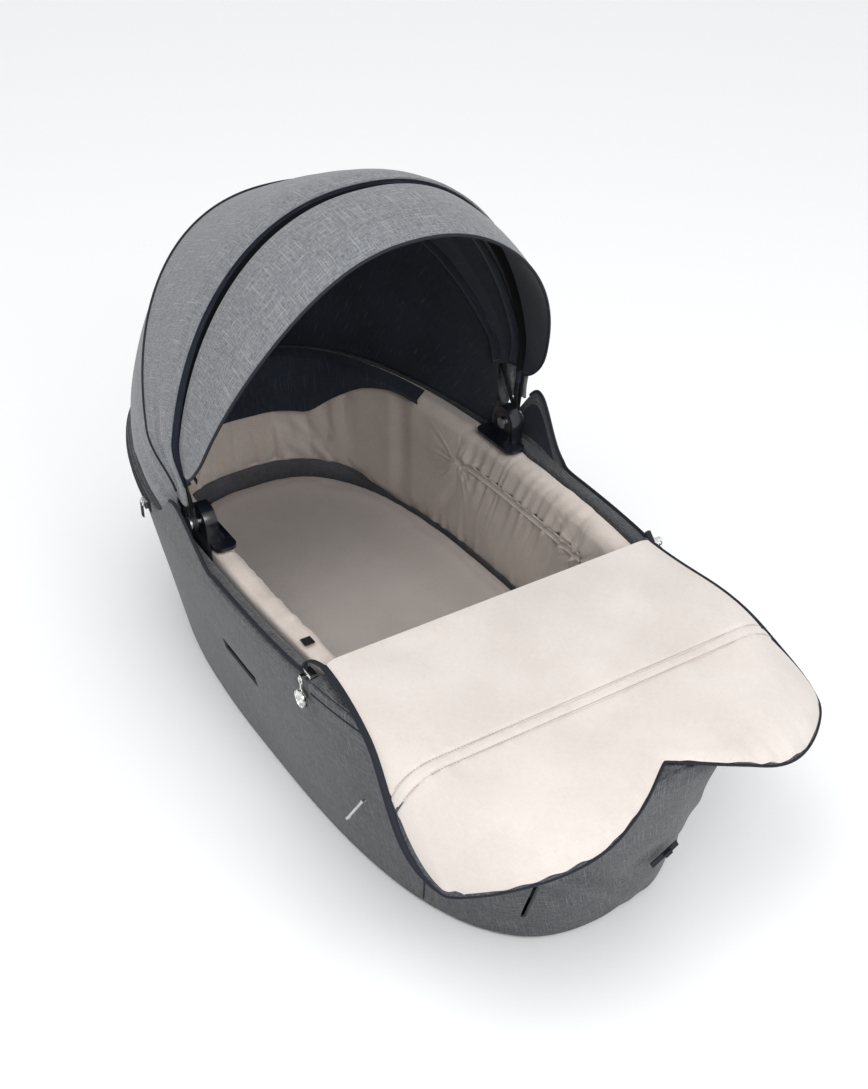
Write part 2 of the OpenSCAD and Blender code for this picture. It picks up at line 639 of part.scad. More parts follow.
module main_canopy() color(c_hood) main_skin(0, hood_t, canopy_foot);
module main_lining() color(c_navy) main_skin(lining_inset, lining_t, lining_foot);

// Ring on which the rear canopy ends, above the rim's rolled edge
hem_inset = 6;
hem_rise = 5;
hem_start = hinge_y + 30;
rear_bulge = 9;
function hem_row(inset) =
    let(w = rim_half_w - hem_inset - inset, l = rim_half_l - hem_inset - inset,
        t0 = asin(pow(hem_start / l, rim_n / 2)))
    [for (j = [0:hood_cols]) let(t = lerp(t0, 180 - t0, j / hood_cols))
        [-w * spow(cos(t), 2 / rim_n), l * pow(sin(t), 2 / rim_n), rim_z + hem_rise]];
function rear_grid(inset, r0) =
    let(top = arc_row(rear_angle + 0.2, rear_half_w, rear_reach, inset, r0), low = hem_row(inset))
    [for (v = [0, 0.25, 0.5, 0.75, 1]) [for (j = [0:hood_cols])
        let(p = lerp(top[j], low[j], v), out = unit([p[0], p[1] - hinge_y, p[2] - rim_z]))
        p + out * rear_bulge * 4 * v * (1 - v) * smooth((p[1] - hem_start) / 90)]];
module rear_canopy() color(c_hood) sheet(rear_grid(hood_t, canopy_foot), rear_grid(0, canopy_foot));
module rear_lining() color(c_navy)
    sheet(rear_grid(lining_inset + lining_t, lining_foot), rear_grid(lining_inset, lining_foot));

// Bow strip that ends in an eye on the hinge pin
eye_r = 9;
eye_end = 16;
function bow_path(angle, half_w, reach, layer) =
    let(row = arc_row(angle, half_w, reach, bow_inset, lining_foot),
        a = row[0], b = row[hood_cols], d = [0, -cos(angle), sin(angle)],
        at = [0, hinge_y, hinge_z],
        foot = [for (r = [eye_end, 30, 46])
            at + d * r + [lerp(arm_x(layer), b[0], smooth((r - 20) / (lining_foot - 20))), 0, 0]])
    concat([for (p = foot) [-p[0], p[1], p[2]]], row, [for (i = [2:-1:0]) foot[i]]);
module bow(angle, half_w, reach, layer) {
    x = arm_x(layer);
    difference() {
        union() {
            strip(bow_path(angle, half_w, reach, layer), [0, sin(angle), cos(angle)], bow_a, bow_b);
            for (s = SIDES) scale([s, 1, 1]) {
                along_x(x - bow_a, x + bow_a, hinge_y, hinge_z, eye_r);
                translate([x, hinge_y, hinge_z]) rotate([90 - angle, 0, 0])
                    translate([-bow_a, -bow_b, 0]) cube([2 * bow_a, 2 * bow_b, eye_end + 2]);
            }
        }
        for (s = SIDES) scale([s, 1, 1]) along_x(x - 5, x + 5, hinge_y, hinge_z, pin_r + pin_gap);
    }
}
module rear_bow() color(c_steel) bow(rear_angle, rear_half_w, rear_reach, 2);
module main_bow() color(c_steel) bow(main_angle, main_half_w, main_reach, 1);
visor_bow_angle = visor_front + 1;
module visor_bow() color(c_steel) bow(visor_bow_angle, visor_half_w, visor_reach, 0);
visor_foot = 56;
module visor_canopy() {
    rows = [for (k = [0, 1 / 3, 2 / 3, 1]) [lerp(visor_front, visor_back, k),
                                            lerp(visor_half_w, visor_back_w, k), 2 + 8 * k]];
    color(c_hood) sheet(
        [for (r = rows) arc_row(r[0], r[1], visor_reach, hood_t, visor_foot, r[2])],
        [for (r = rows) arc_row(r[0], r[1], visor_reach, 0, visor_foot, r[2])]);
}
// Folded mesh between the visor and the main canopy
module visor_gusset() {
    rows = [[visor_back + 0.3, visor_back_w, visor_reach, 1],
            [lip_angle - 0.3, main_half_w - 3, main_reach - 1, 2]];
    color("#0c0d10") sheet(
        [for (r = rows) arc_row(r[0], r[1], r[2], r[3] + 1.2, visor_foot + 4)],
        [for (r = rows) arc_row(r[0], r[1], r[2], r[3], visor_foot + 4)]);
}

// ---- apron ----
fold_z = rim_z + fold_rise;
flap_low = fold_rise - 11.5;
fold_half_w = rim_x(fold_y, fold_inset);
layer_gap = 0.3;
apron_t = 1.5;
droop_gain = 1470;
droop_power = 2.35;
flap_cols = 20;
flap_rows = 9;
// Height of the flap's top over a point of the plan; it droops where it hangs past the rim
function flap_top(x, y) = let(d = -y - fold_y, over = max(0, rim_share(x, y) - 1))
    fold_z - (fold_rise - flap_low - 3) * d / flap_l - droop_gain * pow(over, droop_power);
function flap_half(v) = fold_half_w + lobe_flare * smooth(v * 1.25);
function flap_end(u) = flap_l + lobe_extra * pow(sin(180 * pow(abs(u), 0.9)), 1.4);
function flap_grid(drop) =
    [for (i = [0:flap_rows]) let(v = i / flap_rows)
        [for (j = [-flap_cols / 2:flap_cols / 2])
            let(u = 2 * j / flap_cols, edge = 1 - 0.1 * pow(v, 6) * pow(abs(u), 8),
                x = u * flap_half(v) * edge,
                y = -fold_y - 0.6 - v * lerp(flap_end(u), flap_end(u) * 0.98, abs(u)) * 0.93)
            [x, y, flap_top(x, y) - drop]]];
module apron_flap_lining() color(c_pale) sheet(flap_grid(0), flap_grid(flap_lining_t));
module apron_flap_outer() {
    top = flap_lining_t + layer_gap;
    color(c_cloth) sheet(flap_grid(top), flap_grid(top + flap_outer_t));
}
// Fixed part of the apron, from the fold line to the foot rim
apron_rows = 7;
apron_drop = flap_lining_t + layer_gap + flap_outer_t + 0.8;
function apron_grid(drop) =
    [for (i = [0:apron_rows]) let(v = i / apron_rows,
        y = -lerp(fold_y, rim_half_l - 4, pow(v, 0.7)), w = rim_x(y, 1.5))
        [for (j = [-flap_cols / 2:flap_cols / 2])
            let(u = 2 * j / flap_cols, x = u * w, low = rim_z + 3.5 + GAP + apron_t,
                high = max(low, fold_z - apron_drop
                                - (fold_rise - flap_low - 3) * (-y - fold_y) / flap_l))
            [x, y, lerp(low, high, 1 - pow(abs(u), 6)) - drop]]];
module foot_apron() color(c_cloth) sheet(apron_grid(0), apron_grid(apron_t));

base_tray();
base_feet();
foot_screws();
mattress_board();
mattress();
grey_lining();
padded_liner();
liner_seam_strips();
liner_grommet();
outer_cover();
rim_tube();
head_hoop();
foot_hoop();
side_plate_left();
side_plate_right();
adapter_socket_left();
adapter_socket_right();
catch_left();
catch_right();
catch_springs();
bracket_left();
bracket_right();
bracket_screws();
hinge_pins();
rim_zip_tape();
hood_zip_tape();
hood_zip_slider();
hood_zip_pull();
foot_apron();
side_loops();
foot_vent_zip();
rear_canopy();
rear_lining();
rear_bow();
main_canopy();
main_lining();
main_bow();
visor_canopy();
visor_bow();
visor_gusset();
apron_flap_lining();
apron_flap_outer();
apron_zip_slider_left();
apron_zip_slider_right();
apron_zip_pull_left();
apron_zip_pull_right();
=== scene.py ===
from math import cos, radians, sin, tau

import bmesh
import bpy
import numpy as np
from mathutils import Matrix, Vector


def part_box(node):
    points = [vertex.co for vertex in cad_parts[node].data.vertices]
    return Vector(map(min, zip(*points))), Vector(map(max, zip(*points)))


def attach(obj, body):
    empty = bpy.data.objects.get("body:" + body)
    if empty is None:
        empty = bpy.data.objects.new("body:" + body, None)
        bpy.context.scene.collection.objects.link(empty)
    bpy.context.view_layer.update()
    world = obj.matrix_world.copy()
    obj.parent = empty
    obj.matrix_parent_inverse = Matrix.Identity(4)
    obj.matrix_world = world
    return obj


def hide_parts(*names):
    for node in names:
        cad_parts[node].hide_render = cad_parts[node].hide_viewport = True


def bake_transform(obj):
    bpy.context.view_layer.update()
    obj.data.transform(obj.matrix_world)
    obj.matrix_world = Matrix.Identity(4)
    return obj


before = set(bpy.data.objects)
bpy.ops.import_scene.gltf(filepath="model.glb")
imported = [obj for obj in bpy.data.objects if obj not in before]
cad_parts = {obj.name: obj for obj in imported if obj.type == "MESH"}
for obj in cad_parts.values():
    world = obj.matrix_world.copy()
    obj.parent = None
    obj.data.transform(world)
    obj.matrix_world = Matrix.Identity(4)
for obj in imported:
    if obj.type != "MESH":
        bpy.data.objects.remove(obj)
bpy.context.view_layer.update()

# Studio: a pale floor under a large soft light from above, with one fill from the front and a
# small one that reaches under the hood. The camera looks down on the foot end from the left.
MM = 0.001
SIDES = ((-1, "left"), (1, "right"))
bpy.ops.object.select_all(action="DESELECT")
view_side, view_down, view_roll = radians(-32.55), radians(36.22), radians(0.41)
looked_at = Vector((22.31, -36.58, 179.90)) * MM
towards_camera = Vector((sin(view_side) * cos(view_down), -cos(view_side) * cos(view_down),
                         sin(view_down)))
bpy.ops.object.camera_add(location=looked_at + towards_camera * 1.5575)
camera = bpy.context.object
camera.rotation_euler = (towards_camera.to_track_quat("Z", "Y").to_matrix()
                         @ Matrix.Rotation(view_roll, 3, "Z")).to_euler()
camera.data.lens = 50.275
camera.data.sensor_width = 36
camera.data.shift_x = -0.00334
camera.data.shift_y = 0.02857
camera.data.clip_start = 0.05
camera.data.clip_end = 60
bpy.context.scene.camera = camera
bpy.context.scene.view_settings.view_transform = "Standard"

bpy.ops.mesh.primitive_plane_add(size=30)
floor = bpy.context.object
floor.name = "studio_floor"
world = bpy.data.worlds.new("studio")
world.use_nodes = True
world.node_tree.nodes["Background"].inputs["Color"].default_value = (0.97, 0.985, 1, 1)
world.node_tree.nodes["Background"].inputs["Strength"].default_value = 0.9
bpy.context.scene.world = world


def soft_light(place, aim, size, power, tint=(1, 1, 1)):
    bpy.ops.object.light_add(type="AREA", location=place)
    lamp = bpy.context.object
    lamp.data.shape = "DISK"
    lamp.data.size = size
    lamp.data.energy = power
    lamp.data.color = tint
    lamp.rotation_euler = (Vector(place) - Vector(aim)).to_track_quat("Z", "Y").to_euler()


soft_light((-0.9, -0.5, 2.4), (0, 0, 0.2), 1.5, 17, (1, 0.99, 0.97))
soft_light((-0.3, -2.2, 2.1), (0, 0.15, 0.15), 1.2, 13)
soft_light((-0.1, -1.0, 1.05), (0.02, 0.4, 0.16), 0.5, 3.2)


# Base: a black injection-moulded tray that carries everything, on four screwed rubber feet.
# The plastic is satin with a fine spark-eroded grain; the screws are zinc-plated steel.
class Wire:
    """One value in a finish. Arithmetic on it adds Math nodes."""

    def __init__(self, finish, out):
        self.finish, self.out = finish, out

    def math(self, operation, *values):
        return self.finish.node("ShaderNodeMath", {"operation": operation},
                                dict(enumerate(values)))

    def __add__(self, other):
        return self.math("ADD", self, other)

    def __sub__(self, other):
        return self.math("SUBTRACT", self, other)

    def __rsub__(self, other):
        return self.math("SUBTRACT", other, self)

    def __mul__(self, other):
        return self.math("MULTIPLY", self, other)

    __radd__ = __add__
    __rmul__ = __mul__


def dye(code):
    """A colour written as six hex digits, as the linear values that a shader takes."""
    parts = [int(code[i:i + 2], 16) / 255 for i in (0, 2, 4)]
    return (*[c / 12.92 if c <= 0.04045 else ((c + 0.055) / 1.055) ** 2.4 for c in parts], 1)


class Finish:
    """A material: a Principled shader and the nodes that colour and roughen it."""

    def __init__(self, name, sockets):
        self.material = bpy.data.materials.new(name)
        self.material.use_nodes = True
        self.tree = self.material.node_tree
        self.shader = self.tree.nodes["Principled BSDF"]
        self.fill(self.shader, sockets)

    def fill(self, node, sockets):
        for key, value in sockets.items():
            if isinstance(value, Wire):
                self.tree.links.new(value.out, node.inputs[key])
            else:
                node.inputs[key].default_value = value

    def node(self, kind, settings, sockets, output=0):
        made = self.tree.nodes.new(kind)
        for key, value in settings.items():
            setattr(made, key, value)
        self.fill(made, sockets)
        return Wire(self, made.outputs[output])

    def place(self):
        return self.node("ShaderNodeTexCoord", {}, {}, "Object")

    def cut(self):
        return self.node("ShaderNodeUVMap", {"uv_map": "cut"}, {})

    def speckle(self, where, stretch, detail=2):
        """Cloudy noise of that many cells to the metre along each axis."""
        spread = self.node("ShaderNodeVectorMath", {"operation": "MULTIPLY"},
                           {0: where, 1: stretch})
        return self.node("ShaderNodeTexNoise", {}, {"Vector": spread, "Scale": 1.0,
                                                    "Detail": float(detail)})

    def fade(self, value, low, high):
        return self.node("ShaderNodeMapRange", {"interpolation_type": "SMOOTHSTEP"},
                         {"Value": value, "From Min": low, "From Max": high})

    def blend(self, share, first, second):
        inputs = {0: share, 6: first, 7: second}
        return self.node("ShaderNodeMix", {"data_type": "RGBA"}, inputs, 2)

    def finish(self, colour=None, rough=None, height=None, strength=0.3, depth=0.0006):
        if colour is not None:
            self.fill(self.shader, {"Base Color": colour})
        if rough is not None:
            self.fill(self.shader, {"Roughness": rough})
        if height is not None:
            bump = self.node("ShaderNodeBump", {}, {"Strength": strength, "Distance": depth,
                                                    "Height": height})
            self.fill(self.shader, {"Normal": bump})
        return self


def moulded(name, colour, worn, rough, grain=2600, sockets=None):
    """Moulded plastic or rubber: a fine grain, and faint cloudy wear in tone and gloss."""
    f = Finish(name, {"Roughness": rough, **(sockets or {})})
    where = f.place()
    cloud = f.speckle(where, (22, 22, 22), 4)
    fine = f.speckle(where, (grain, grain, grain), 1)
    return f.finish(f.blend(f.fade(cloud, 0.42, 0.72), dye(colour), dye(worn)),
                    rough + 0.14 * cloud + 0.05 * fine, fine, 0.12, 0.0002)


def metal(name, colour, dull, rough):
    """Plated metal with fine drawn lines and a slightly uneven gloss."""
    f = Finish(name, {"Metallic": 1.0})
    where = f.place()
    cloud = f.speckle(where, (60, 60, 60), 3)
    drawn = f.speckle(where, (3000, 3000, 90), 1)
    return f.finish(f.blend(f.fade(cloud, 0.35, 0.75), dye(colour), dye(dull)),
                    rough + 0.2 * cloud * drawn, drawn, 0.06, 0.0001)


def dress(finish, *names):
    for name in names:
        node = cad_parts[name]
        if node.material_slots:
            for slot in node.material_slots:
                slot.material = finish.material
        else:
            node.data.materials.append(finish.material)


tray_plastic = moulded("black_moulded_plastic", "17191d", "26282d", 0.42)
rubber = moulded("foot_rubber", "101112", "1c1d1e", 0.72, 1400)
steel = metal("zinc_plated_steel", "c3c6ca", "8f9396", 0.24)
chrome = metal("polished_nickel", "e9e9e6", "bdbdb9", 0.1)
dress(tray_plastic, "base_tray")
dress(rubber, "base_feet")
dress(steel, "foot_screws")
floor_paint = Finish("studio_paper", {"Base Color": (0.93, 0.93, 0.93, 1), "Roughness": 0.9})
floor.data.materials.append(floor_paint.finish().material)

# Mattress: a foam pad in a fine taupe spacer mesh, which lies on a ribbed fibre board.
# The cover is cut a little small, so the foam crowns it and pulls its edge round.
rim_half_w, rim_half_l, rim_z = 206.0, 434.0, 229.0
side_flare, end_flare, hem_z = 42.0, 63.0, 4.0
rim_n, base_n = 2.53, 2.8
tray_half_w, tray_half_l = rim_half_w - side_flare - 5, rim_half_l - end_flare - 5
mattress_low, mattress_top = 46.0, 80.0


def lerp(a, b, k):
    return a + (b - a) * k


def smooth(v):
    k = np.clip(v, 0, 1)
    return k * k * (3 - 2 * k)


def signed_power(v, e):
    return np.sign(v) * np.abs(v) ** e


def spaced(path, count, closed=False):
    """A path of points with equal steps between them."""
    line = np.vstack([path, path[:1]]) if closed else path
    walk = np.concatenate([[0], np.cumsum(np.linalg.norm(np.diff(line, axis=0), axis=1))])
    at = np.linspace(0, walk[-1], count + 1)[:-1] if closed else np.linspace(0, walk[-1], count)
    return np.stack([np.interp(at, walk, line[:, k]) for k in range(3)], 1)


def outline(half_w, half_l, n, z, count):
    """A rounded-rectangle ring, anticlockwise from the middle of the right side."""
    t = np.linspace(0, tau, 3200, endpoint=False)
    ring = np.stack([half_w * signed_power(np.cos(t), 2 / n),
                     half_l * signed_power(np.sin(t), 2 / n), np.full_like(t, z)], 1)
    return spaced(ring, count, True)


def waves(s, pitch, seed):
    """Irregular waves of about that pitch, from -1 to 1."""
    heights = np.random.default_rng(seed).uniform(-1, 1, 4096)
    k = np.asarray(s) / pitch + 2000
    i = np.floor(k).astype(int)
    f = k - i
    return heights[i] + (heights[i + 1] - heights[i]) * f * f * (3 - 2 * f)


def clouds(p, pitch, seed):
    """Soft uneven lumps over a grid of points, from -1 to 1."""
    turns = [(0.9, 0.3, 0.3), (-0.4, 0.8, 0.45), (0.2, -0.5, 0.85), (0.7, 0.6, -0.4)]
    return sum(waves(p @ np.array(a), pitch * (0.8 + 0.13 * k), seed + k)
               for k, a in enumerate(turns)) / 2.4


def cloth(name, grid, around=False, looped=False, outside=None):
    """A mesh over a grid of points in millimetres, with its cut in metres as a UV map.
    around closes each row on itself, looped closes the last row on the first."""
    rows, cols = grid.shape[:2]
    wide = np.concatenate([grid, grid[:, :1]], 1) if around else grid
    full = np.concatenate([wide, wide[:1]], 0) if looped else wide
    across = np.linalg.norm(np.diff(full, axis=1), axis=2)
    along = np.linalg.norm(np.diff(full, axis=0), axis=2)
    u = np.concatenate([np.zeros((len(full), 1)), np.cumsum(across, 1)], 1)
    u -= u[:, [u.shape[1] // 2]]
    v = np.concatenate([np.zeros((1, full.shape[1])), np.cumsum(along, 0)], 0)
    i, j = [a.ravel() for a in np.meshgrid(np.arange(len(full) - 1), np.arange(full.shape[1] - 1),
                                           indexing="ij")]
    corners = [(i, j), (i, j + 1), (i + 1, j + 1), (i + 1, j)]
    faces = np.stack([(a % rows) * cols + b % cols for a, b in corners], 1)
    flat = np.stack([np.stack([u[a, b], v[a, b]], 1) for a, b in corners], 1) * MM
    points = grid.reshape(-1, 3)
    p = points[faces]
    normal = np.cross(p[:, 2] - p[:, 0], p[:, 3] - p[:, 1])
    centre = p.mean(1)
    if outside is None:
        turned = (centre * normal).sum() < 0
    else:
        turned = ((centre - np.array(outside)) * normal).sum() < 0
    if turned:
        faces, flat = faces[:, ::-1], flat[:, ::-1]
    mesh = bpy.data.meshes.new(name)
    mesh.from_pydata((points * MM).tolist(), [], faces.tolist())
    mesh.uv_layers.new(name="cut").data.foreach_set("uv", flat.astype(np.float32).ravel())
    mesh.shade_smooth()
    made = bpy.data.objects.new(name, mesh)
    bpy.context.scene.collection.objects.link(made)
    return made


def only(obj):
    bpy.ops.object.select_all(action="DESELECT")
    obj.select_set(True)
    bpy.context.view_layer.objects.active = obj


def modify(obj, kind, **settings):
    only(obj)
    modifier = obj.modifiers.new(kind.lower(), kind)
    for key, value in settings.items():
        setattr(modifier, key, value)
    bpy.ops.object.modifier_apply(modifier=modifier.name)


def block(name, size, place):
    """A box of that size, in metres."""
    bpy.ops.mesh.primitive_cube_add(size=1, location=place)
    made = bpy.context.object
    made.name = name
    made.scale = size
    bpy.ops.object.transform_apply(location=True, rotation=True, scale=True)
    return made


def from_solid(name, solid):
    """A piece from a bmesh, with its faces turned outwards."""
    bmesh.ops.recalc_face_normals(solid, faces=solid.faces)
    mesh = bpy.data.meshes.new(name)
    solid.to_mesh(mesh)
    solid.free()
    made = bpy.data.objects.new(name, mesh)
    bpy.context.scene.collection.objects.link(made)
    return made


def thicken(obj, thickness, even=True):
    """Gives a sheet its thickness in millimetres, inwards from its outer face."""
    modify(obj, "SOLIDIFY", thickness=thickness * MM, offset=-1.0, use_even_offset=even)
    bpy.ops.object.shade_smooth_by_angle(angle=radians(50))


def place_piece(obj, finish, body, slot, *nodes):
    """Paints a piece, sets it on its body and hides the solids it stands for. Its slot is not
    used.
    """
    if finish:
        obj.data.materials.clear()
        obj.data.materials.append(finish.material)
    if nodes:
        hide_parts(*nodes)
    if body:
        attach(obj, body)
    return obj


def puff(obj, pressure, cap, held=None, frames=20):
    """Inflates a closed pad as cloth. No point moves further than cap millimetres, and held
    gives the points of its seams a weight of 1."""
    rest = np.array([v.co for v in obj.data.vertices])
    only(obj)
    soft = obj.modifiers.new("filling", "CLOTH")
    soft.settings.quality = 4
    soft.settings.mass = 0.25
    soft.settings.tension_stiffness = 18
    soft.settings.bending_stiffness = 0.6
    soft.settings.use_pressure = True
    soft.settings.uniform_pressure_force = pressure
    soft.settings.effector_weights.gravity = 0
    soft.collision_settings.use_collision = False
    if held is not None:
        group = obj.vertex_groups.new(name="seams")
        for index, weight in enumerate(held):
            if weight > 0:
                group.add([index], float(weight), "REPLACE")
        soft.settings.vertex_group_mass = "seams"
    for number in range(1, frames + 1):
        bpy.context.scene.frame_set(number)
    bpy.ops.object.modifier_apply(modifier=soft.name)
    moved = np.array([v.co for v in obj.data.vertices]) - rest
    far = np.linalg.norm(moved, axis=1, keepdims=True)
    kept = rest + moved * np.minimum(1, cap * MM / np.maximum(far, 1e-9))
    obj.data.vertices.foreach_set("co", kept.astype(np.float32).ravel())
    obj.data.update()
    bpy.context.scene.frame_set(1)
    obj.vertex_groups.clear()


board = Finish("pressed_board", {"Roughness": 0.7})
fibres = board.speckle(board.place(), (900, 60, 900), 3)
dress(board.finish(board.blend(board.fade(fibres, 0.3, 0.7), dye("9a7f5a"), dye("b89a70")),
                   None, fibres), "mattress_board")

taupe_mesh = Finish("taupe_spacer_mesh", {"Roughness": 0.85, "Sheen Weight": 0.15})
knit = taupe_mesh.place()
holes = taupe_mesh.node("ShaderNodeTexVoronoi", {}, {"Vector": knit, "Scale": 620.0,
                                                     "Randomness": 0.25})
mottle = taupe_mesh.speckle(knit, (35, 35, 35), 4)
thread = taupe_mesh.fade(holes, 0.12, 0.5)
taupe_mesh.finish(
    taupe_mesh.blend(thread * 0.55 + 0.3 * mottle, dye("a69d98"), dye("cdc4be")),
    0.95 - 0.15 * thread, thread, 0.4, 0.0005)

steps = [(0, 6), (3, 2), (9, 0), (17, 0), (26, 0), (31, 1.2), (34, 4), (35, 9)]
pad_w, pad_l = tray_half_w - 1.5, tray_half_l - 1.5
rings = [outline(pad_w - inset, pad_l - inset, base_n, mattress_low + rise, 200)
         for rise, inset in steps]
for share in (0.8, 0.6, 0.4, 0.2, 0.04):
    inner = outline((pad_w - 9) * share, (pad_l - 9) * share, lerp(2, base_n, share),
                    mattress_top + 1 + 2 * (1 - share), 200)
    rings.append(inner)
under = [outline((pad_w - 9) * share, (pad_l - 9) * share, lerp(2, base_n, share),
                 mattress_low, 200) for share in (0.04, 0.3, 0.6, 0.85)]
mattress_pad = cloth("mattress_pad", np.stack(under + rings), around=True)
only(mattress_pad)
bpy.ops.object.mode_set(mode="EDIT")
bpy.ops.mesh.select_all(action="SELECT")
bpy.ops.mesh.fill_holes(sides=0)
bpy.ops.object.mode_set(mode="OBJECT")
modify(mattress_pad, "REMESH", mode="VOXEL", voxel_size=6 * MM)
mattress_pad.data.shade_smooth()
puff(mattress_pad, 4, 2.5)
modify(mattress_pad, "SUBSURF", levels=1, render_levels=1)
place_piece(mattress_pad, taupe_mesh, "cot", "taupe_mesh", "mattress")

# Outer cover: heavy grey mélange cloth, cut in wall panels and drawn over a steel rim tube.
# Beside each hinge it rises into a wing that hides the hood's foot; slots are bound openings.
roll_w, crest_gap, crest_w = 16.5, 5.0, 21.0
count_round = 340
wings = {-1: (50.0, 80.0, 92.0, 1.5), 1: (62.0, 56.0, 106.0, 3.4)}


def melange(name, dark, mid, pale, slubs=0.42):
    """Wool-like cloth: dark and pale fibres spun together, with pale slubs both ways."""
    f = Finish(name, {"Sheen Weight": 0.18, "Sheen Roughness": 0.45, "Specular IOR Level": 0.25})
    cut = f.cut()
    warp = f.speckle(cut, (1000, 150, 0))
    weft = f.speckle(cut, (150, 1000, 0))
    fibre = f.speckle(cut, (1000, 1000, 0), 3)
    cloud = f.speckle(cut, (26, 20, 0), 4)
    slub_warp = f.fade(f.speckle(cut, (1700, 24, 0), 1), 0.6, 0.7)
    slub_weft = f.fade(f.speckle(cut, (24, 1700, 0), 1), 0.61, 0.71)
    tone = f.fade(warp * 0.3 + weft * 0.3 + fibre * 0.4, 0.41, 0.59)
    body = f.blend(tone * 0.86 + 0.14 * cloud, dye(dark), dye(mid))
    lined = f.blend(slubs * slub_warp, body, dye(pale))
    colour = f.blend(slubs * slub_weft, lined, dye(pale))
    relief = warp + weft + 0.8 * slub_warp + 0.8 * slub_weft
    return f.finish(colour, 0.98 - 0.12 * fibre, relief, 0.45, 0.0006)


def wall(z, half, flare):
    return half - flare * (1 - np.clip((z - hem_z) / (rim_z - hem_z), 0, 1))


def wall_ring(z, inset):
    k = np.clip((z - hem_z) / (rim_z - hem_z), 0, 1)
    return outline(wall(z, rim_half_w, side_flare) - inset, wall(z, rim_half_l, end_flare) - inset,
                   lerp(base_n, rim_n, k), z, count_round)


def wing_rise(side, y):
    peak, middle, width, sharpness = wings[side]
    return peak * smooth(1 - np.abs(y - middle) / width) ** sharpness


def wing_lift(p):
    lift = np.zeros(len(p))
    for side in wings:
        here = p[:, 0] * side > rim_half_w / 2
        lift[here] = wing_rise(side, p[here, 1])
    return lift


def edge_ring(inset, z, share):
    p = outline(rim_half_w - inset, rim_half_l - inset, rim_n, z, count_round)
    lift = wing_lift(p) * share
    p[:, 0] += np.sign(p[:, 0]) * 0.08 * lift
    p[:, 2] += lift
    return p


def near_line(p, a, b, axes):
    """How far points lie from a line drawn between a and b on two of their axes."""
    q, a, b = p[:, axes], np.array(a), np.array(b)
    k = np.clip(((q - a) @ (b - a)) / ((b - a) @ (b - a)), 0, 1)
    return np.linalg.norm(q - a - k[:, None] * (b - a), axis=1), k


def drape(p):
    """How far the loose cloth stands off the smooth wall at each point."""
    low = smooth((205 - p[:, 2]) / 70)
    loose = 0.8 * clouds(p, 75, 11) + 0.45 * clouds(p, 31, 23)
    foot, head = p[:, 1] < -rim_half_l / 2, p[:, 1] > rim_half_l / 2
    for ends, size, seed in [(((-56, 98), (28, 14)), 3.4, 1), (((20, 86), (92, 40)), 2.4, 2),
                             (((-132, 150), (-98, 30)), 1.6, 3), (((66, 150), (118, 60)), 1.8, 4)]:
        d, k = near_line(p, *ends, axes=[0, 2])
        loose += foot * size * np.exp(-(d / 8) ** 2) * np.sin(np.pi * k.clip(0.02, 0.98)) ** 0.5
        loose -= foot * 0.6 * size * np.exp(-((d - 15) / 9) ** 2)
        loose += head * 0.5 * size * np.exp(-(d / 10) ** 2)
    return loose * low


rows = [wall_ring(z, 0) for z in np.linspace(hem_z, 205, 34)]
rows += [edge_ring(*r) for r in [
    (0, 213, 0), (0, 221, 0), (0, 224, 0.2), (0, 226.5, 0.45), (0, 228.5, 0.72), (0, 230, 0.93),
    (0.5, 231.2, 1), (1.5, 231.6, 1), (2.4, 231.2, 0.95), (2.9, 231, 0.75), (2.9, 231, 0.5),
    (3.2, 231.6, 0.25), (4.2, 232.5, 0), (8, 233, 0), (12.5, 232.6, 0), (15.6, 231.2, 0),
    (roll_w, 228, 0), (roll_w, 219, 0), (roll_w, 210, 0), (14, 210, 0), (14, 227, 0),
    (11.5, 229.8, 0), (5, 229.8, 0), (2.5, 227, 0), (2.5, 213, 0)]]
rows += [wall_ring(z, 2.5) for z in np.linspace(205, hem_z, 12)]
shell = np.stack(rows)
outwards = shell[0] / np.linalg.norm(shell[0], axis=1, keepdims=True) * np.array([1, 1, 0])
for row in shell:
    if row[:, 2].max() < 206:
        row += outwards * drape(row)[:, None]
cover_cloth = cloth("cover_cloth", shell, around=True, looped=True)

cutters = []
for side in (-1, 1):
    cutters.append(block("side_slot", (0.03, 0.074, 0.014), (side * 0.187, 0, 0.131)))
    cutters.append(block("foot_slit", (0.0045, 0.11, 0.057), (side * 0.088, -0.4, 0.0675)))
bpy.ops.object.select_all(action="DESELECT")
for cutter in cutters:
    cutter.select_set(True)
bpy.context.view_layer.objects.active = cutters[0]
bpy.ops.object.join()
cutter = bpy.context.object
modify(cutter, "BEVEL", width=1.6 * MM, segments=2)
modify(cover_cloth, "BOOLEAN", operation="DIFFERENCE", object=cutter, solver="EXACT")
only(cutter)
bpy.ops.object.delete()
only(cover_cloth)
bpy.ops.object.shade_smooth_by_angle(angle=radians(50))
body_melange = melange("grey_melange_cloth", "2b2d30", "5a5c5f", "8e9092")
place_piece(cover_cloth, body_melange, "cot", "grey_melange_cloth", "outer_cover")
dress(steel, "rim_tube", "head_hoop", "foot_hoop", "side_plate_left", "side_plate_right")
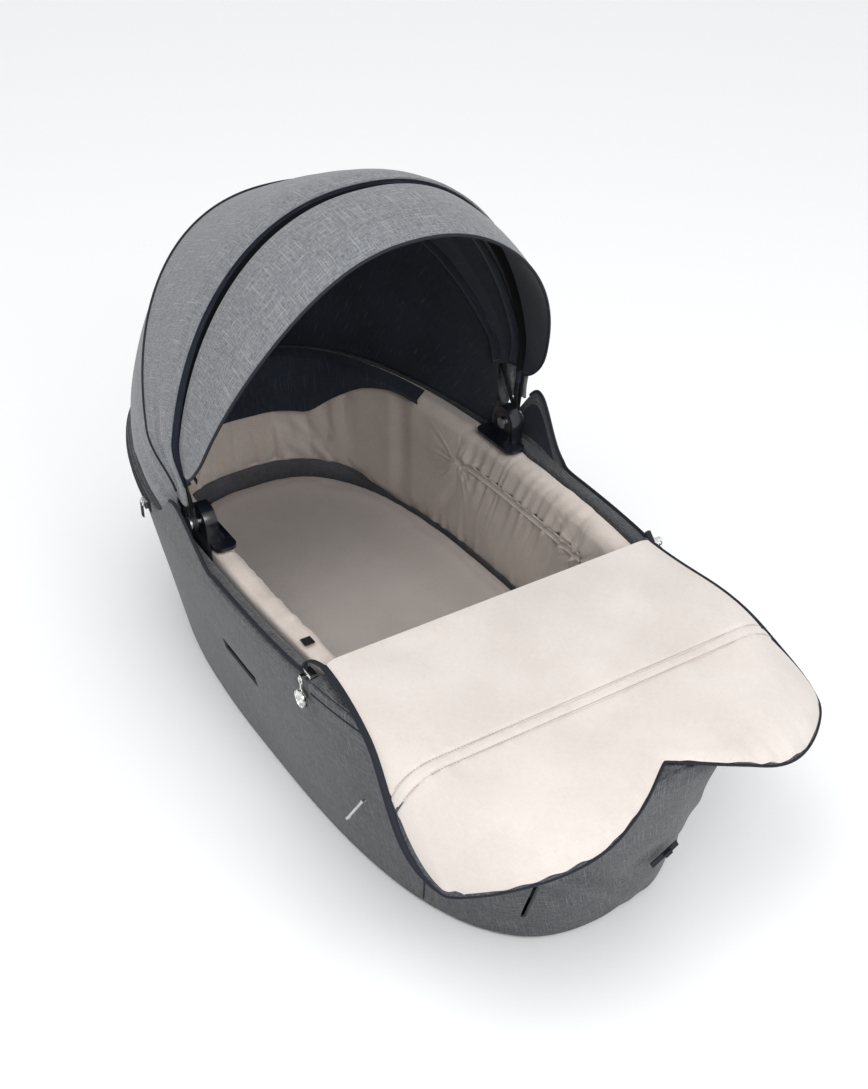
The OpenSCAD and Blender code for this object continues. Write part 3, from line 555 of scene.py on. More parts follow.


# Inside of the wings: a dark navy lining, partly the hood's tucked fabric and partly painted shade
# on the wing's inner face, that stops short of the edge, so a grey band shows above it.
# It is stitched to the wing all round.
def plain_weave(name, low, high, count=1300, rough=0.82, sheen=0.2, slub=0.0):
    """Close plain-woven cloth with a little unevenness in its dye and its threads."""
    f = Finish(name, {"Sheen Weight": sheen, "Sheen Roughness": 0.4, "Specular IOR Level": 0.3})
    cut = f.cut()
    warp = f.speckle(cut, (count, count / 12, 0))
    weft = f.speckle(cut, (count / 12, count, 0))
    cloud = f.speckle(cut, (11, 11, 0), 4)
    slubs = f.fade(f.speckle(cut, (700, 30, 0), 1), 0.6, 0.75)
    tone = f.fade(warp * 0.5 + weft * 0.5, 0.35, 0.65) * 0.45 + 0.55 * f.fade(cloud, 0.3, 0.7)
    base = f.blend(tone, dye(low), dye(high))
    colour = f.blend(slub * slubs, base, dye("5c6470"))
    return f.finish(colour, rough + 0.12 * cloud, warp + weft, 0.3, 0.0004)


navy_lining = plain_weave("navy_hood_lining", "151923", "282e3a", 900, 0.82, 0.2, 0.25)
for side, (peak, middle, width, _) in wings.items():
    y = np.linspace(middle - width * 0.62, middle + width * 0.62, 40)
    lift = wing_rise(side, y)
    edge = (rim_half_w - 3.6) * (1 - (np.abs(y) / (rim_half_l - 3.6)) ** rim_n) ** (1 / rim_n)
    top = np.maximum(lift - 14, 0.5)
    grid = np.stack([np.stack([side * (edge + 0.08 * top * k - 0.6 * np.sin(np.pi * k)), y,
                               231.6 + top * k], 1) for k in np.linspace(0, 1, 7)])
    # Partly painted shade: this dark navy sheet darkens the wing's inner face.
    inside = cloth(f"wing_shade_lining_{'left' if side < 0 else 'right'}", grid,
                   outside=(side * 400, middle, 240))
    thicken(inside, 0.8)
    place_piece(inside, navy_lining, "cot", "navy_lining")

# Head band: the grey lining that shows between the mattress and the padded liner's hem.
# It is a plain strip sewn to the hem and tucked down beside the mattress.
def hem_height(y):
    return mattress_top - 4 + 18 * smooth((y - 240) / 90)


band_w, band_l = 160.6, 374.6
grid = []
for k in np.linspace(0, 1, 9):
    ring = outline(band_w, band_l, base_n, 0, 300)
    ring[:, 2] = lerp(58, hem_height(ring[:, 1]) + 1, k)
    loose = 1.3 * np.sin(np.pi * k) * smooth((ring[:, 1] - 150) / 120)
    ring[:, :2] *= (1 - loose * (0.6 + 0.4 * waves(ring[:, 0], 26, 5)) / 160)[:, None]
    grid.append(ring)
head_band = cloth("head_band", np.stack(grid), around=True)
thicken(head_band, 1.2)
band_cloth = plain_weave("grey_band_cloth", "3c3d40", "5f6064", 1000)
place_piece(head_band, band_cloth, "cot", "grey_lining_cloth", "grey_lining")

# Padded liner: warm beige cotton over wadding, with a rolled crest that lies over the rim.
# Its cloth is cut full and gathered into a flat seam strip along each side and at the hem.
out_low = np.array([178.19 - 12, 392.28 - 12])
out_top = np.array([rim_half_w, rim_half_l]) - roll_w - crest_gap
in_low, in_top = out_low - 6, out_top - crest_w
seam_z, seam_y = 187.0, (-97.0, 128.0)


def liner_ring(half, k, z_share):
    p = outline(half[0], half[1], lerp(base_n, rim_n, k), 0, 420)
    p[:, 2] = lerp(hem_height(p[:, 1]), rim_z - 2, z_share)
    return p


def crest_ring(share, height):
    half = lerp(out_top, in_top, share)
    p = outline(half[0], half[1], rim_n, 0, 420)
    p[:, 2] = rim_z + lerp(2.5, 8, smooth((p[:, 1] + 173) / 60)) * height
    return p


outer = [liner_ring(lerp(out_low, out_top, np.interp(k, [0, 0.35, 0.72, 0.9, 1],
                                                     [0, 0.12, 0.52, 0.9, 1])),
                    k, k) for k in (0, 0.2, 0.4, 0.6, 0.8, 0.93, 1)]
crest = [crest_ring(s, h) for s, h in [(0.03, 0.3), (0.12, 0.66), (0.25, 0.9), (0.42, 1),
                                       (0.6, 0.97), (0.77, 0.8), (0.9, 0.5)]]
inner_k = np.concatenate([np.linspace(0.985, 0.76, 11), [0.742, 0.726, 0.71],
                          np.linspace(0.69, 0, 28)])
inner = [liner_ring(lerp(in_low, in_top, k), k, k) for k in inner_k]
section = np.stack(outer + crest + inner)
padded_liner = cloth("liner_pad", section, around=True, looped=True)
first_inner = len(outer) + len(crest)
held = np.zeros(section.shape[:2])
held[:len(outer) + 1] = 1
held[-1] = 1
seam_row = first_inner + int(np.argmin(abs(inner_k - 0.726)))
on_side = (section[seam_row, :, 1] > seam_y[0]) & (section[seam_row, :, 1] < seam_y[1])
held[seam_row, on_side] = 1
puff(padded_liner, 3.5, 3.5, held.ravel(), 16)
modify(padded_liner, "SUBSURF", levels=1, render_levels=1)


def surface(obj):
    """The points of a piece in millimetres, and their normals."""
    return (np.array([v.co for v in obj.data.vertices]) / MM,
            np.array([v.vector for v in obj.data.vertex_normals]))


points, facing = surface(padded_liner)
x, y, z = points.T
towards_middle = -(facing[:, 0] * x + facing[:, 1] * y) / np.hypot(x, y)
inner_side = smooth(towards_middle * 3) * smooth((z - hem_height(y)) / 3)
along_seam = smooth((y - seam_y[0]) / 14) * smooth((seam_y[1] - y) / 14) * (np.abs(x) > 100)
away = np.abs(z - seam_z)
slant = y + 0.35 * (z - seam_z)
gathers = (2.8 * np.abs(waves(slant, 8, 31)) + 1.2 * waves(slant, 13, 32) - 0.6) * along_seam
gathers *= (away / 9) * np.exp(1 - away / 9) + 0.4 * np.exp(-away / 40)
channel = -3.5 * np.exp(-(away / 4) ** 2) * along_seam
star = np.zeros_like(x)
for end in seam_y:
    across, up = y - end, z - seam_z
    reach = np.hypot(across, up)
    spoke = waves(np.arctan2(up, across) * 9, 1.6, 41)
    star += 4.5 * np.abs(spoke) * (reach / 11) * np.exp(1 - reach / 11) * (np.abs(x) > 100)
head_wall = smooth((y - 300) / 40)
back_folds = head_wall * (4.6 * np.abs(waves(x, 22, 51)) + 1.5 * waves(x + 0.2 * z, 9, 52) - 1)
back_folds *= 0.45 + 0.55 * smooth((215 - z) / 40)
over_hem = z - hem_height(y)
hem_puckers = 2.2 * waves(np.where(np.abs(x) > 140, y, x), 8, 61) * np.exp(-over_hem / 12)
foot_wall = smooth((-y - 300) / 40)
panel_seams = sum(-2.2 * head_wall * np.exp(-((x - seam_x) / 2) ** 2) for seam_x in (-96, 42, 118))
side_folds = 1.6 * (1 - along_seam) * (1 - head_wall) * waves(y, 21, 62) * smooth(over_hem / 25)
crest_side = smooth(facing[:, 2] * 2) * smooth((z - rim_z + 1) / 2)
relief = (1.5 * gathers + channel + star + back_folds + hem_puckers + panel_seams + side_folds
          + 1.6 * clouds(points, 60, 71) + 1.6 * foot_wall * waves(x, 17, 81)) * inner_side
relief += crest_side * (0.8 * waves(slant, 16, 33) * along_seam + 0.7 * clouds(points, 40, 72))


def ruffle(obj, amount):
    """Moves each point of a piece along its own normal, in millimetres."""
    co, normals = surface(obj)
    co += normals * amount[:, None]
    obj.data.vertices.foreach_set("co", (co * MM).astype(np.float32).ravel())
    obj.data.update()


ruffle(padded_liner, relief)
beige_cotton = plain_weave("beige_cotton", "b6aba3", "d0c5bd", 1500, 0.66, 0.35)
place_piece(padded_liner, beige_cotton, "cot", "beige_liner", "padded_liner")


# Seam strips and grommet: a flat strip of the same beige cotton covers the gathers' seam.
# It is edge-stitched above and below, and a thin dark brown cord along each edge is painted shadow
# from the strip's rolled edges; the grommet is a pressed dark plate with a square hole.
def trim(name, path, side, profile, closed=False):
    """A strip of one profile drawn along a path: each profile point is (along side, outwards)."""
    path, side = np.asarray(path, float), np.asarray(side, float)
    tangent = (np.roll(path, -1, 0) - np.roll(path, 1, 0)) if closed else np.gradient(path, axis=0)
    side = np.broadcast_to(side, path.shape)
    rise = np.cross(side, tangent)
    rise /= np.linalg.norm(rise, axis=1, keepdims=True)
    flat = np.cross(tangent, rise)
    flat /= np.linalg.norm(flat, axis=1, keepdims=True)
    grid = np.stack([path + flat * s + rise * u for s, u in profile], 1)
    made = cloth(name, grid, around=True, looped=closed, outside=None)
    mesh = made.data
    if not closed:
        only(made)
        bpy.ops.object.mode_set(mode="EDIT")
        bpy.ops.mesh.select_all(action="SELECT")
        bpy.ops.mesh.fill_holes(sides=0)
        bpy.ops.object.mode_set(mode="OBJECT")
    turned = bmesh.new()
    turned.from_mesh(mesh)
    if turned.calc_volume(signed=True) < 0:
        bmesh.ops.reverse_faces(turned, faces=turned.faces)
    turned.to_mesh(mesh)
    turned.free()
    only(made)
    bpy.ops.object.shade_smooth_by_angle(angle=radians(55))
    return made


def lens(half_w, half_h, points=10):
    """An oval profile."""
    turns = [tau * k / points for k in range(points)]
    return [(half_w * cos(t), half_h * sin(t)) for t in turns]


def pipe_profile(half_w, half_h):
    """A flat strip with raised rolled edges."""
    shape = [(-1, -1), (1, -1), (1, 0.6), (0.86, 1), (0.7, 0.35), (-0.7, 0.35), (-0.86, 1),
             (-1, 0.6)]
    return [(half_w * u, half_h * v) for u, v in shape]


# Dark brown cords: painted shadow along each rolled edge of the seam strip.
seam_shadow_finish = moulded("painted_seam_shadow", "4a423c", "5f564f", 0.8)
for side, name in SIDES:
    y = np.linspace(*seam_y, 60)
    k = (seam_z - 81) / (rim_z - 2 - 81)
    half = lerp(in_low, in_top, k)
    n = lerp(base_n, rim_n, k)
    edge = half[0] * (1 - (np.abs(y) / half[1]) ** n) ** (1 / n)
    path = np.stack([side * (edge - 2.6), y, np.full_like(y, seam_z)], 1)
    strip = trim(f"seam_strip_{name}", path, (0, 0, side), pipe_profile(4.8, 1.5))
    place_piece(strip, beige_cotton, "cot", "beige_liner",
                *(["liner_seam_strips"] if side < 0 else []))
    for number, off in enumerate((-5.4, 5.4)):
        cord = trim(f"seam_shadow_cord_{name}_{number + 1}", path + np.array([side * 0.6, 0, off]),
                    (0, 0, side), lens(0.7, 0.9, 8))
        place_piece(cord, seam_shadow_finish, "cot", "beige_liner")
dark_plate = moulded("dark_pressed_plate", "0b0c10", "16171b", 0.35)
dress(dark_plate, "liner_grommet")
low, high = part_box("liner_grommet")
plug = block("grommet_middle", (high - low) * 0.74, (low + high) / 2)
modify(plug, "BEVEL", width=0.2 * MM, segments=2)
place_piece(plug, dark_plate, "cot", "black_plastic")

# Adapter sockets: glass-filled plastic blocks behind the side slots, each with a sprung catch.
# They take the two tongues of a stroller frame.
dress(moulded("socket_plastic", "1d1f23", "2c2e33", 0.5), "adapter_socket_left",
      "adapter_socket_right")
dress(moulded("catch_plastic", "a03c26", "bb543b", 0.38), "catch_left", "catch_right")
dress(steel, "catch_springs")

# Hinge brackets: glossy blue-black moulded plastic, screwed over the crest on each side.
# A curved shoulder with fine ridges stiffens the column over its foot flange.
bracket_gloss = moulded("bracket_gloss_plastic", "10121a", "191c26", 0.2, 1800,
                        {"Coat Weight": 0.35, "Coat Roughness": 0.12})
pivot_y, pivot_z = 0.073, 0.259
for side, name in SIDES:
    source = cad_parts[f"bracket_{name}"]
    body = bpy.data.objects.new(f"hinge_bracket_{name}", source.data.copy())
    bpy.context.scene.collection.objects.link(body)
    only(body)
    bpy.ops.object.mode_set(mode="EDIT")
    bpy.ops.mesh.select_all(action="SELECT")
    bpy.ops.mesh.remove_doubles(threshold=0.00002)
    bpy.ops.object.mode_set(mode="OBJECT")
    modify(body, "BEVEL", width=0.9 * MM, segments=3, limit_method="ANGLE",
           angle_limit=radians(40))
    bpy.ops.object.shade_smooth_by_angle(angle=radians(35))
    place_piece(body, bracket_gloss, "cot", "black_plastic", f"bracket_{name}")

    low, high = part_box(f"bracket_{name}")
    inner = high.x if side < 0 else low.x
    column = side * 0.1745
    profile = []
    for k in np.linspace(0, 1, 12):
        turn = k * tau / 4
        profile.append((lerp(column, inner, 1 - cos(turn)), lerp(0.2405, 0.264, 1 - sin(turn))))
    solid = bmesh.new()
    half = 0.0155
    outline_pts = [(column + side * 0.004, 0.2405), (column + side * 0.004, 0.264)] + [
        (x, z) for x, z in profile]
    rings = []
    for y, inset in ((-half, 0.0012), (-half + 0.0012, 0), (half - 0.0012, 0), (half, 0.0012)):
        centre_x = sum(p[0] for p in outline_pts) / len(outline_pts)
        ring = [solid.verts.new((x + (centre_x - x) * inset * 60, pivot_y + y,
                                 z - inset * 0.5)) for x, z in outline_pts]
        rings.append(ring)
    for a, b in zip(rings, rings[1:]):
        for i in range(len(a)):
            solid.faces.new((a[i], a[(i + 1) % len(a)], b[(i + 1) % len(b)], b[i]))
    solid.faces.new(rings[0][::-1])
    solid.faces.new(rings[-1])
    shoulder = from_solid(f"bracket_shoulder_{name}", solid)
    only(shoulder)
    bpy.ops.object.shade_smooth_by_angle(angle=radians(35))
    place_piece(shoulder, bracket_gloss, "cot", "black_plastic")

    for step in range(4):
        ridge = block(f"bracket_ridge_{name}_{step + 1}", (0.001, 0.034, 0.0011),
                      (inner + side * (0.0015 + 0.0022 * step), pivot_y, 0.2417))
        modify(ridge, "BEVEL", width=0.0003, segments=2)
        place_piece(ridge, bracket_gloss, "cot", "black_plastic")
dress(steel, "bracket_screws", "hinge_pins")

# Rim zips: navy coil zips that start at the apron and climb along the edge of each wing.
# A woven tape carries the coil; the slider and its hanging charm are nickel-plated zinc.
zip_navy = Finish("navy_zip_tape", {"Specular IOR Level": 0.35})
zip_cut = zip_navy.cut()
zip_weave = zip_navy.speckle(zip_cut, (900, 1600, 0), 1)
rib = zip_navy.node("ShaderNodeTexWave", {"wave_type": "BANDS", "bands_direction": "Y"},
                    {"Vector": zip_cut, "Scale": 190.0})
zip_navy.finish(zip_navy.blend(rib * 0.6 + 0.4 * zip_weave, dye("0b0d15"), dye("20242f")),
                0.62 + 0.2 * zip_weave, rib, 0.35, 0.0005)


def rim_edge(y, inset):
    return (rim_half_w - inset) * (1 - (np.abs(y) / (rim_half_l - inset)) ** rim_n) ** (1 / rim_n)


for side, name in SIDES:
    y = np.linspace(-166, wings[side][1] + 14, 150)
    lift = wing_rise(side, y)
    share = smooth(lift / 6)
    path = np.stack([side * (rim_edge(y, lerp(4.4, 1.5, share)) + 0.08 * lift), y,
                     lerp(233.4, 232.2, share) + lift], 1)
    tape = trim(f"rim_zip_{name}", path, (side, 0, 0), lens(1.9, 1.2, 12))
    place_piece(tape, zip_navy, "cot", "zip_tape", *(["rim_zip_tape"] if side < 0 else []))
    coil = trim(f"rim_zip_coil_{name}", path + np.array([0, 0, 1.5]), (side, 0, 0),
                lens(0.9, 0.6, 8))
    place_piece(coil, zip_navy, "cot", "zip_tape")

y = np.linspace(-174, -400, 60)
for side, name in SIDES:
    path = np.stack([side * (rim_edge(y, 0) + 0.2), y, np.full_like(y, rim_z - 7.5)], 1)
    seam = trim(f"rim_seam_{name}", path, (0, 0, 1), lens(0.9, 0.6, 8))
    place_piece(seam, zip_navy, "cot", "zip_tape")
dress(chrome, "apron_zip_slider_left", "apron_zip_slider_right", "hood_zip_slider")

def wire_ring(name, major, minor, place):
    """A metal ring that stands across the cot."""
    bpy.ops.mesh.primitive_torus_add(major_radius=major, minor_radius=minor, major_segments=32,
                                     minor_segments=12, location=place, rotation=(0, tau / 4, 0))
    ring = bpy.context.object
    ring.name = name
    bpy.ops.object.transform_apply(location=True, rotation=True, scale=True)
    ring.data.shade_smooth()
    return ring


for side, name in SIDES:
    low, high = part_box(f"apron_zip_pull_{name}")
    centre = Vector(((low.x + high.x) / 2, (low.y + high.y) / 2, low.z + 0.008))
    bpy.ops.mesh.primitive_cylinder_add(vertices=64, radius=0.009, depth=0.0016, location=centre,
                                        rotation=(0, tau / 4, 0))
    charm = bpy.context.object
    charm.name = f"zip_charm_{name}"
    bpy.ops.object.transform_apply(location=True, rotation=True, scale=True)
    bpy.ops.object.mode_set(mode="EDIT")
    bpy.ops.mesh.select_all(action="DESELECT")
    bpy.ops.object.mode_set(mode="OBJECT")
    for face in charm.data.polygons:
        face.select = abs(face.normal.x) > 0.9
    bpy.ops.object.mode_set(mode="EDIT")
    bpy.ops.mesh.inset(thickness=0.0011, use_individual=True)
    bpy.ops.mesh.inset(thickness=0.0004, depth=-0.0004, use_individual=True)
    bpy.ops.mesh.inset(thickness=0.0024, use_individual=True)
    bpy.ops.mesh.inset(thickness=0.0006, depth=0.0003, use_individual=True)
    bpy.ops.object.mode_set(mode="OBJECT")
    modify(charm, "BEVEL", width=0.0002, segments=2, limit_method="ANGLE",
           angle_limit=radians(40))
    bpy.ops.object.shade_smooth_by_angle(angle=radians(30))
    place_piece(charm, chrome, f"apron_pull_{name}", "chromed_metal", f"apron_zip_pull_{name}")
    links = [(high.z - 0.0028, 0.0031, 0.0007), (low.z + 0.0166, 0.0022, 0.0006)]
    for number, (z, major, minor) in enumerate(links):
        ring = wire_ring(f"zip_ring_{name}_{number + 1}", major, minor, (centre.x, centre.y, z))
        place_piece(ring, chrome, f"apron_pull_{name}", "chromed_metal")
    stem_path = [(centre.x * 1000, centre.y * 1000, z * 1000)
                 for z in np.linspace(links[1][0] + 0.002, links[0][0] - 0.0026, 5)]
    stem = trim(f"zip_stem_{name}", stem_path, (0, 1, 0), lens(1.1, 0.7, 12))
    place_piece(stem, chrome, f"apron_pull_{name}", "chromed_metal")

# Rear hood panel: mélange cloth from the rear bow down to the hood's zip, gathered to the rim.
# It and its navy lining run between the fixed rim and the rear bow.
hood_n, visor_w, visor_back_w, main_w, rear_w = 2.24, 203.0, 207.0, 216.0, 215.0
canopy_foot, hood_foot, lining_foot = 34.0, 25.0, 62.0
hood_melange = melange("hood_melange_cloth", "54565a", "86888b", "bcbdbe", 0.42)


def arch(angle, half_w, reach, inset, foot, count=150, pull=16.0, rise=0.0):
    """A row of points across the hood at an angle about its hinge, from left to right.
    Near its feet the row is pulled in towards the cot. Its middle may lie rise degrees back."""
    top = reach - inset
    start = np.arcsin((foot / top) ** (hood_n / 2))
    t = np.linspace(start, np.pi - start, 2400)
    r = top * np.sin(t) ** (2 / hood_n)
    near = 1 - smooth((r - 30) / 70)
    across = (half_w - inset) * signed_power(np.cos(t), 2 / hood_n)
    turn = np.radians(angle + rise * np.sin(t) ** 4)
    row = np.stack([-(across - np.sign(across) * pull * near),
                    1000 * pivot_y - r * np.cos(turn), 1000 * pivot_z + r * np.sin(turn)], 1)
    return spaced(row, count)


def hood_hem(inset, count=150):
    half_w, half_l = rim_half_w - 6 - inset, rim_half_l - 6 - inset
    start = np.arcsin(((1000 * pivot_y + 30) / half_l) ** (rim_n / 2))
    t = np.linspace(start, np.pi - start, 2400)
    row = np.stack([-half_w * signed_power(np.cos(t), 2 / rim_n),
                    half_l * np.sin(t) ** (2 / rim_n), np.full_like(t, rim_z + 5.0)], 1)
    return spaced(row, count)


def rear_panel(inset, foot, angle=125.6, rows=46):
    top, low = arch(angle, rear_w, 302, inset, foot), hood_hem(inset)
    grid = []
    for v in np.linspace(0, 1, rows):
        p = lerp(top, low, v)
        out = p - np.array([0, 1000 * pivot_y, rim_z])
        out /= np.linalg.norm(out, axis=1, keepdims=True)
        bulge = 36 * v * (1 - v) * smooth((p[:, 1] - 103) / 90)
        grid.append(p + out * bulge[:, None])
    return np.stack(grid)


def creased(grid, amount):
    """Pushes a sheet in and out along its own surface normals, in millimetres."""
    du = np.gradient(grid, axis=1)
    dv = np.gradient(grid, axis=0)
    normal = np.cross(du, dv)
    normal /= np.maximum(np.linalg.norm(normal, axis=2, keepdims=True), 1e-9)
    middle = grid - np.array([0, 100, 250])
    if (normal * middle).sum() < 0:
        normal = -normal
    return grid + normal * amount[..., None]


hinge_inside = (0, 100, 250)
fold_zone = {"a": "cot", "b": "rear_bow", "start": (0, 0.320, 0.082), "end": (0, 0.073, 0.259)}
grid = rear_panel(0, canopy_foot)
v = np.linspace(0, 1, grid.shape[0])[:, None]
u = np.linspace(-1, 1, grid.shape[1])[None]
lumps = clouds(grid.reshape(-1, 3), 70, 101).reshape(grid.shape[:2])
low_gathers = 1.1 * waves(grid[..., 0] + grid[..., 1] * np.sign(grid[..., 0]), 13, 102)
low_gathers *= np.exp(-(1 - v) * 9) * smooth(v * 4)
side_folds = 1.5 * np.sin(v * 17 + 3 * u) * smooth((np.abs(u) - 0.62) / 0.2) * np.sin(np.pi * v)
grid = creased(grid, (1.3 * lumps * np.sin(np.pi * v) + low_gathers + side_folds))
rear_hood = cloth("rear_hood", grid, outside=hinge_inside)
thicken(rear_hood, 1.6)
place_piece(rear_hood, hood_melange, None, "hood_melange_cloth", "rear_canopy")

lining_inset = 11.0
grid = rear_panel(lining_inset, lining_foot, rows=36)
grid[-1, :, 2] += 2
v = np.linspace(0, 1, grid.shape[0])[:, None]
lumps = clouds(grid.reshape(-1, 3), 48, 111).reshape(grid.shape[:2])
grid = creased(grid, 2.2 * lumps * np.sin(np.pi * v)
               + 1.2 * waves(grid[..., 0], 24, 112) * np.exp(-(1 - v) * 7) * smooth(v * 4))
rear_inside = cloth("rear_hood_lining", grid, outside=hinge_inside)
thicken(rear_inside, 1.0)
place_piece(rear_inside, navy_lining, None, "navy_lining", "rear_lining")

# Hanging hem: the hood's lining falls loose inside the head end, over the top of the liner.
# It hangs deepest at the back and runs out towards each hinge.
skirt_rows = []
for v in np.linspace(0, 1, 22):
    over = smooth(v / 0.25)
    top_ring = outline(in_top[0], in_top[1], rim_n, 0, 420)
    turn = np.arctan2(top_ring[:, 1] / in_top[1], top_ring[:, 0] / in_top[0])
    kept = top_ring[(turn > 0.5) & (turn < 2.7)]
    hang = 64 * smooth((150 - kept[:, 0]) / 75) * smooth((kept[:, 1] - 190) / 110)
    z = rim_z + 12 - 3 * over - np.clip((v - 0.2) / 0.8, 0, 1) * (6 + hang)
    k = np.clip((z - 81) / (rim_z - 2 - 81), 0, 1)[:, None]
    inset = lerp(-6, 11, over) + 1.8 * waves(kept[:, 0] - kept[:, 1], 34, 141) * v
    wall_half = lerp(in_low, in_top, k) - np.reshape(inset, (-1, 1))
    skirt_rows.append(np.column_stack([kept[:, :2] / in_top * wall_half, z]))
skirt = cloth("hood_lining_hem", np.stack(skirt_rows), outside=hinge_inside)
thicken(skirt, 1.0)
place_piece(skirt, navy_lining, "cot", "navy_lining")

# Main hood panel: one piece of mélange cloth stretched between the rear bow and the main bow.
# Its front edge is a folded hem with a navy facing, and its lining has sewn bow channels.
main_rows = np.concatenate([[90, 91.2, 92.6, 94, 95, 96.2], np.linspace(98, 125.4, 34)])


def main_reach(angle):
    """Reach of the cloth at an angle: held up by the bows, a little hollow between them."""
    return np.interp(angle, [90, 95, 97, 103, 110.25, 118, 123, 125.4],
                     [306.5, 307.4, 306, 300.5, 297, 297.6, 300.2, 302.2])


def main_panel(inset, foot, first=90.0):
    angles = main_rows[main_rows >= first]
    return np.stack([arch(a, np.interp(a, [90, 95, 110, 125.5], [216, 216, 213.5, 215]),
                          main_reach(a), inset, foot) for a in angles])


bow_zone = {"a": "rear_bow", "b": "main_bow", "start": (0, 0.073 + 0.5807 * 0.22,
                                                        0.259 + 0.8141 * 0.22),
            "end": (0, 0.073 + 0.0872 * 0.22, 0.259 + 0.9962 * 0.22)}
grid = main_panel(0, hood_foot)
v = np.linspace(0, 1, grid.shape[0])[:, None]
u = np.linspace(-1, 1, grid.shape[1])[None]
lumps = clouds(grid.reshape(-1, 3), 62, 121).reshape(grid.shape[:2])
side_folds = 1.5 * np.sin(v * 15 + 2 * u) * smooth((np.abs(u) - 0.66) / 0.2) * np.sin(np.pi * v)
grid = creased(grid, 1.0 * lumps * np.sin(np.pi * v) + side_folds)
main_hood = cloth("main_hood", grid, outside=hinge_inside)
thicken(main_hood, 1.8)
place_piece(main_hood, hood_melange, None, "hood_melange_cloth", "main_canopy")

grid = main_panel(lining_inset, lining_foot)
v = np.linspace(0, 1, grid.shape[0])[:, None]
lumps = clouds(grid.reshape(-1, 3), 40, 131).reshape(grid.shape[:2])
grid = creased(grid, 1.6 * lumps * np.sin(np.pi * v) - 1.4 * np.sin(np.pi * v))
main_inside = cloth("main_hood_lining", grid, outside=hinge_inside)
thicken(main_inside, 1.0)
place_piece(main_inside, navy_lining, None, "navy_lining", "main_lining")


def arch_side(row, angle):
    """The direction along the hood, across a row at an angle."""
    turn = np.radians(angle)
    return np.broadcast_to(np.array([0, np.sin(turn), np.cos(turn)]), row.shape)


def flat_channel(half_w, height):
    """A low rounded fabric tunnel."""
    return [(-half_w, -0.4), (half_w, -0.4), (half_w, 0.1), (half_w * 0.62, height * 0.8),
            (0, height), (-half_w * 0.62, height * 0.8), (-half_w, 0.1)]


for angle, half_w, reach, body in ((96.5, 216, 305.5, "main_bow"),
                                   (124.6, 215, 301.2, "rear_bow")):
    row = arch(angle, half_w, reach, lining_inset + 2.6, lining_foot + 4, 110)
    channel_strip = trim(f"bow_channel_{body}", row, arch_side(row, angle), flat_channel(8, 2.4))
    place_piece(channel_strip, navy_lining, body, "navy_lining")
row = arch(90.2, 216, 306.5, 5.6, 44, 160)
lip_facing = trim("lip_facing", row, arch_side(row, 90.2),
                  [(-1.5, -5.2), (1.5, -5.2), (1.9, 0), (1.5, 4.0), (-1.5, 4.0), (-1.9, 0)])
place_piece(lip_facing, navy_lining, "main_bow", "navy_lining")
row = arch(90.6, 216, 307.6, 0, hood_foot, 160)
lip_hem = trim("lip_hem", row, arch_side(row, 90.6),
               [(-5, -1.6), (5, -1.6), (6, 0), (5, 1.0), (0, 1.5), (-5, 1.0), (-6, 0)])
place_piece(lip_hem, hood_melange, "main_bow", "hood_melange_cloth")
row = arch(125.5, 215, 303, 0, canopy_foot, 170)
seam_piping = trim("rear_seam_piping", row, arch_side(row, 125.5), lens(1.7, 1.5, 10))
place_piece(seam_piping, zip_navy, "rear_bow", "zip_tape")

# Visor: a stiffened brim of the same cloth with rounded ends, on its own bow.
# Navy binding runs round its edge; a black mesh gusset lies between it and the main panel.
def visor_row(k, inset, count=150):
    angle = lerp(65.0, 87.0, k)
    foot = 56 + 50 * (1 - np.sqrt(np.clip(1 - (1 - k) ** 2.4, 0, 1)))
    half_w = lerp(visor_w, visor_back_w, k)
    reach = lerp(310.5, 308, k) + 1.6 * np.sin(np.pi * k)
    return arch(angle, half_w, reach, inset, foot, count, 2 + 8 * k, 5.0 * (1 - k))


shares = np.concatenate([[0, 0.02, 0.05, 0.1], np.linspace(0.16, 1, 17)])
grid = np.stack([visor_row(k, 0) for k in shares])
visor_cloth = cloth("visor_cloth", grid, outside=hinge_inside)
thicken(visor_cloth, 1.3)
place_piece(visor_cloth, hood_melange, "visor", "hood_melange_cloth", "visor_canopy")
grid = np.stack([visor_row(k, 1.6) for k in shares])
visor_inside = cloth("visor_lining", grid, outside=hinge_inside)
thicken(visor_inside, 0.8)
place_piece(visor_inside, navy_lining, "visor", "navy_lining")
front = np.concatenate([visor_row(k, 0.9)[:1] for k in np.linspace(1, 0.02, 14)]
                       + [visor_row(0, 0.9)]
                       + [visor_row(k, 0.9)[-1:] for k in np.linspace(0.02, 1, 14)])
front = spaced(front, 220)
binding = trim("visor_binding", front, front - np.array([0, 73, 259.0]), lens(1.6, 1.5, 10))
place_piece(binding, zip_navy, "visor", "zip_tape", "visor_bow")
for side, name, end in ((-1, "left", front[0]), (1, "right", front[-1])):
    k = np.linspace(0, 1, 12)[:, None]
    hinge = np.array([side * 193.0, 1000 * pivot_y, 1000 * pivot_z + 4])
    arm = trim(f"visor_arm_{name}", lerp(hinge, end, k), (side, 0, 0), lens(0.9, 3.4, 12))
    place_piece(arm, tray_plastic, "visor", "black_plastic")

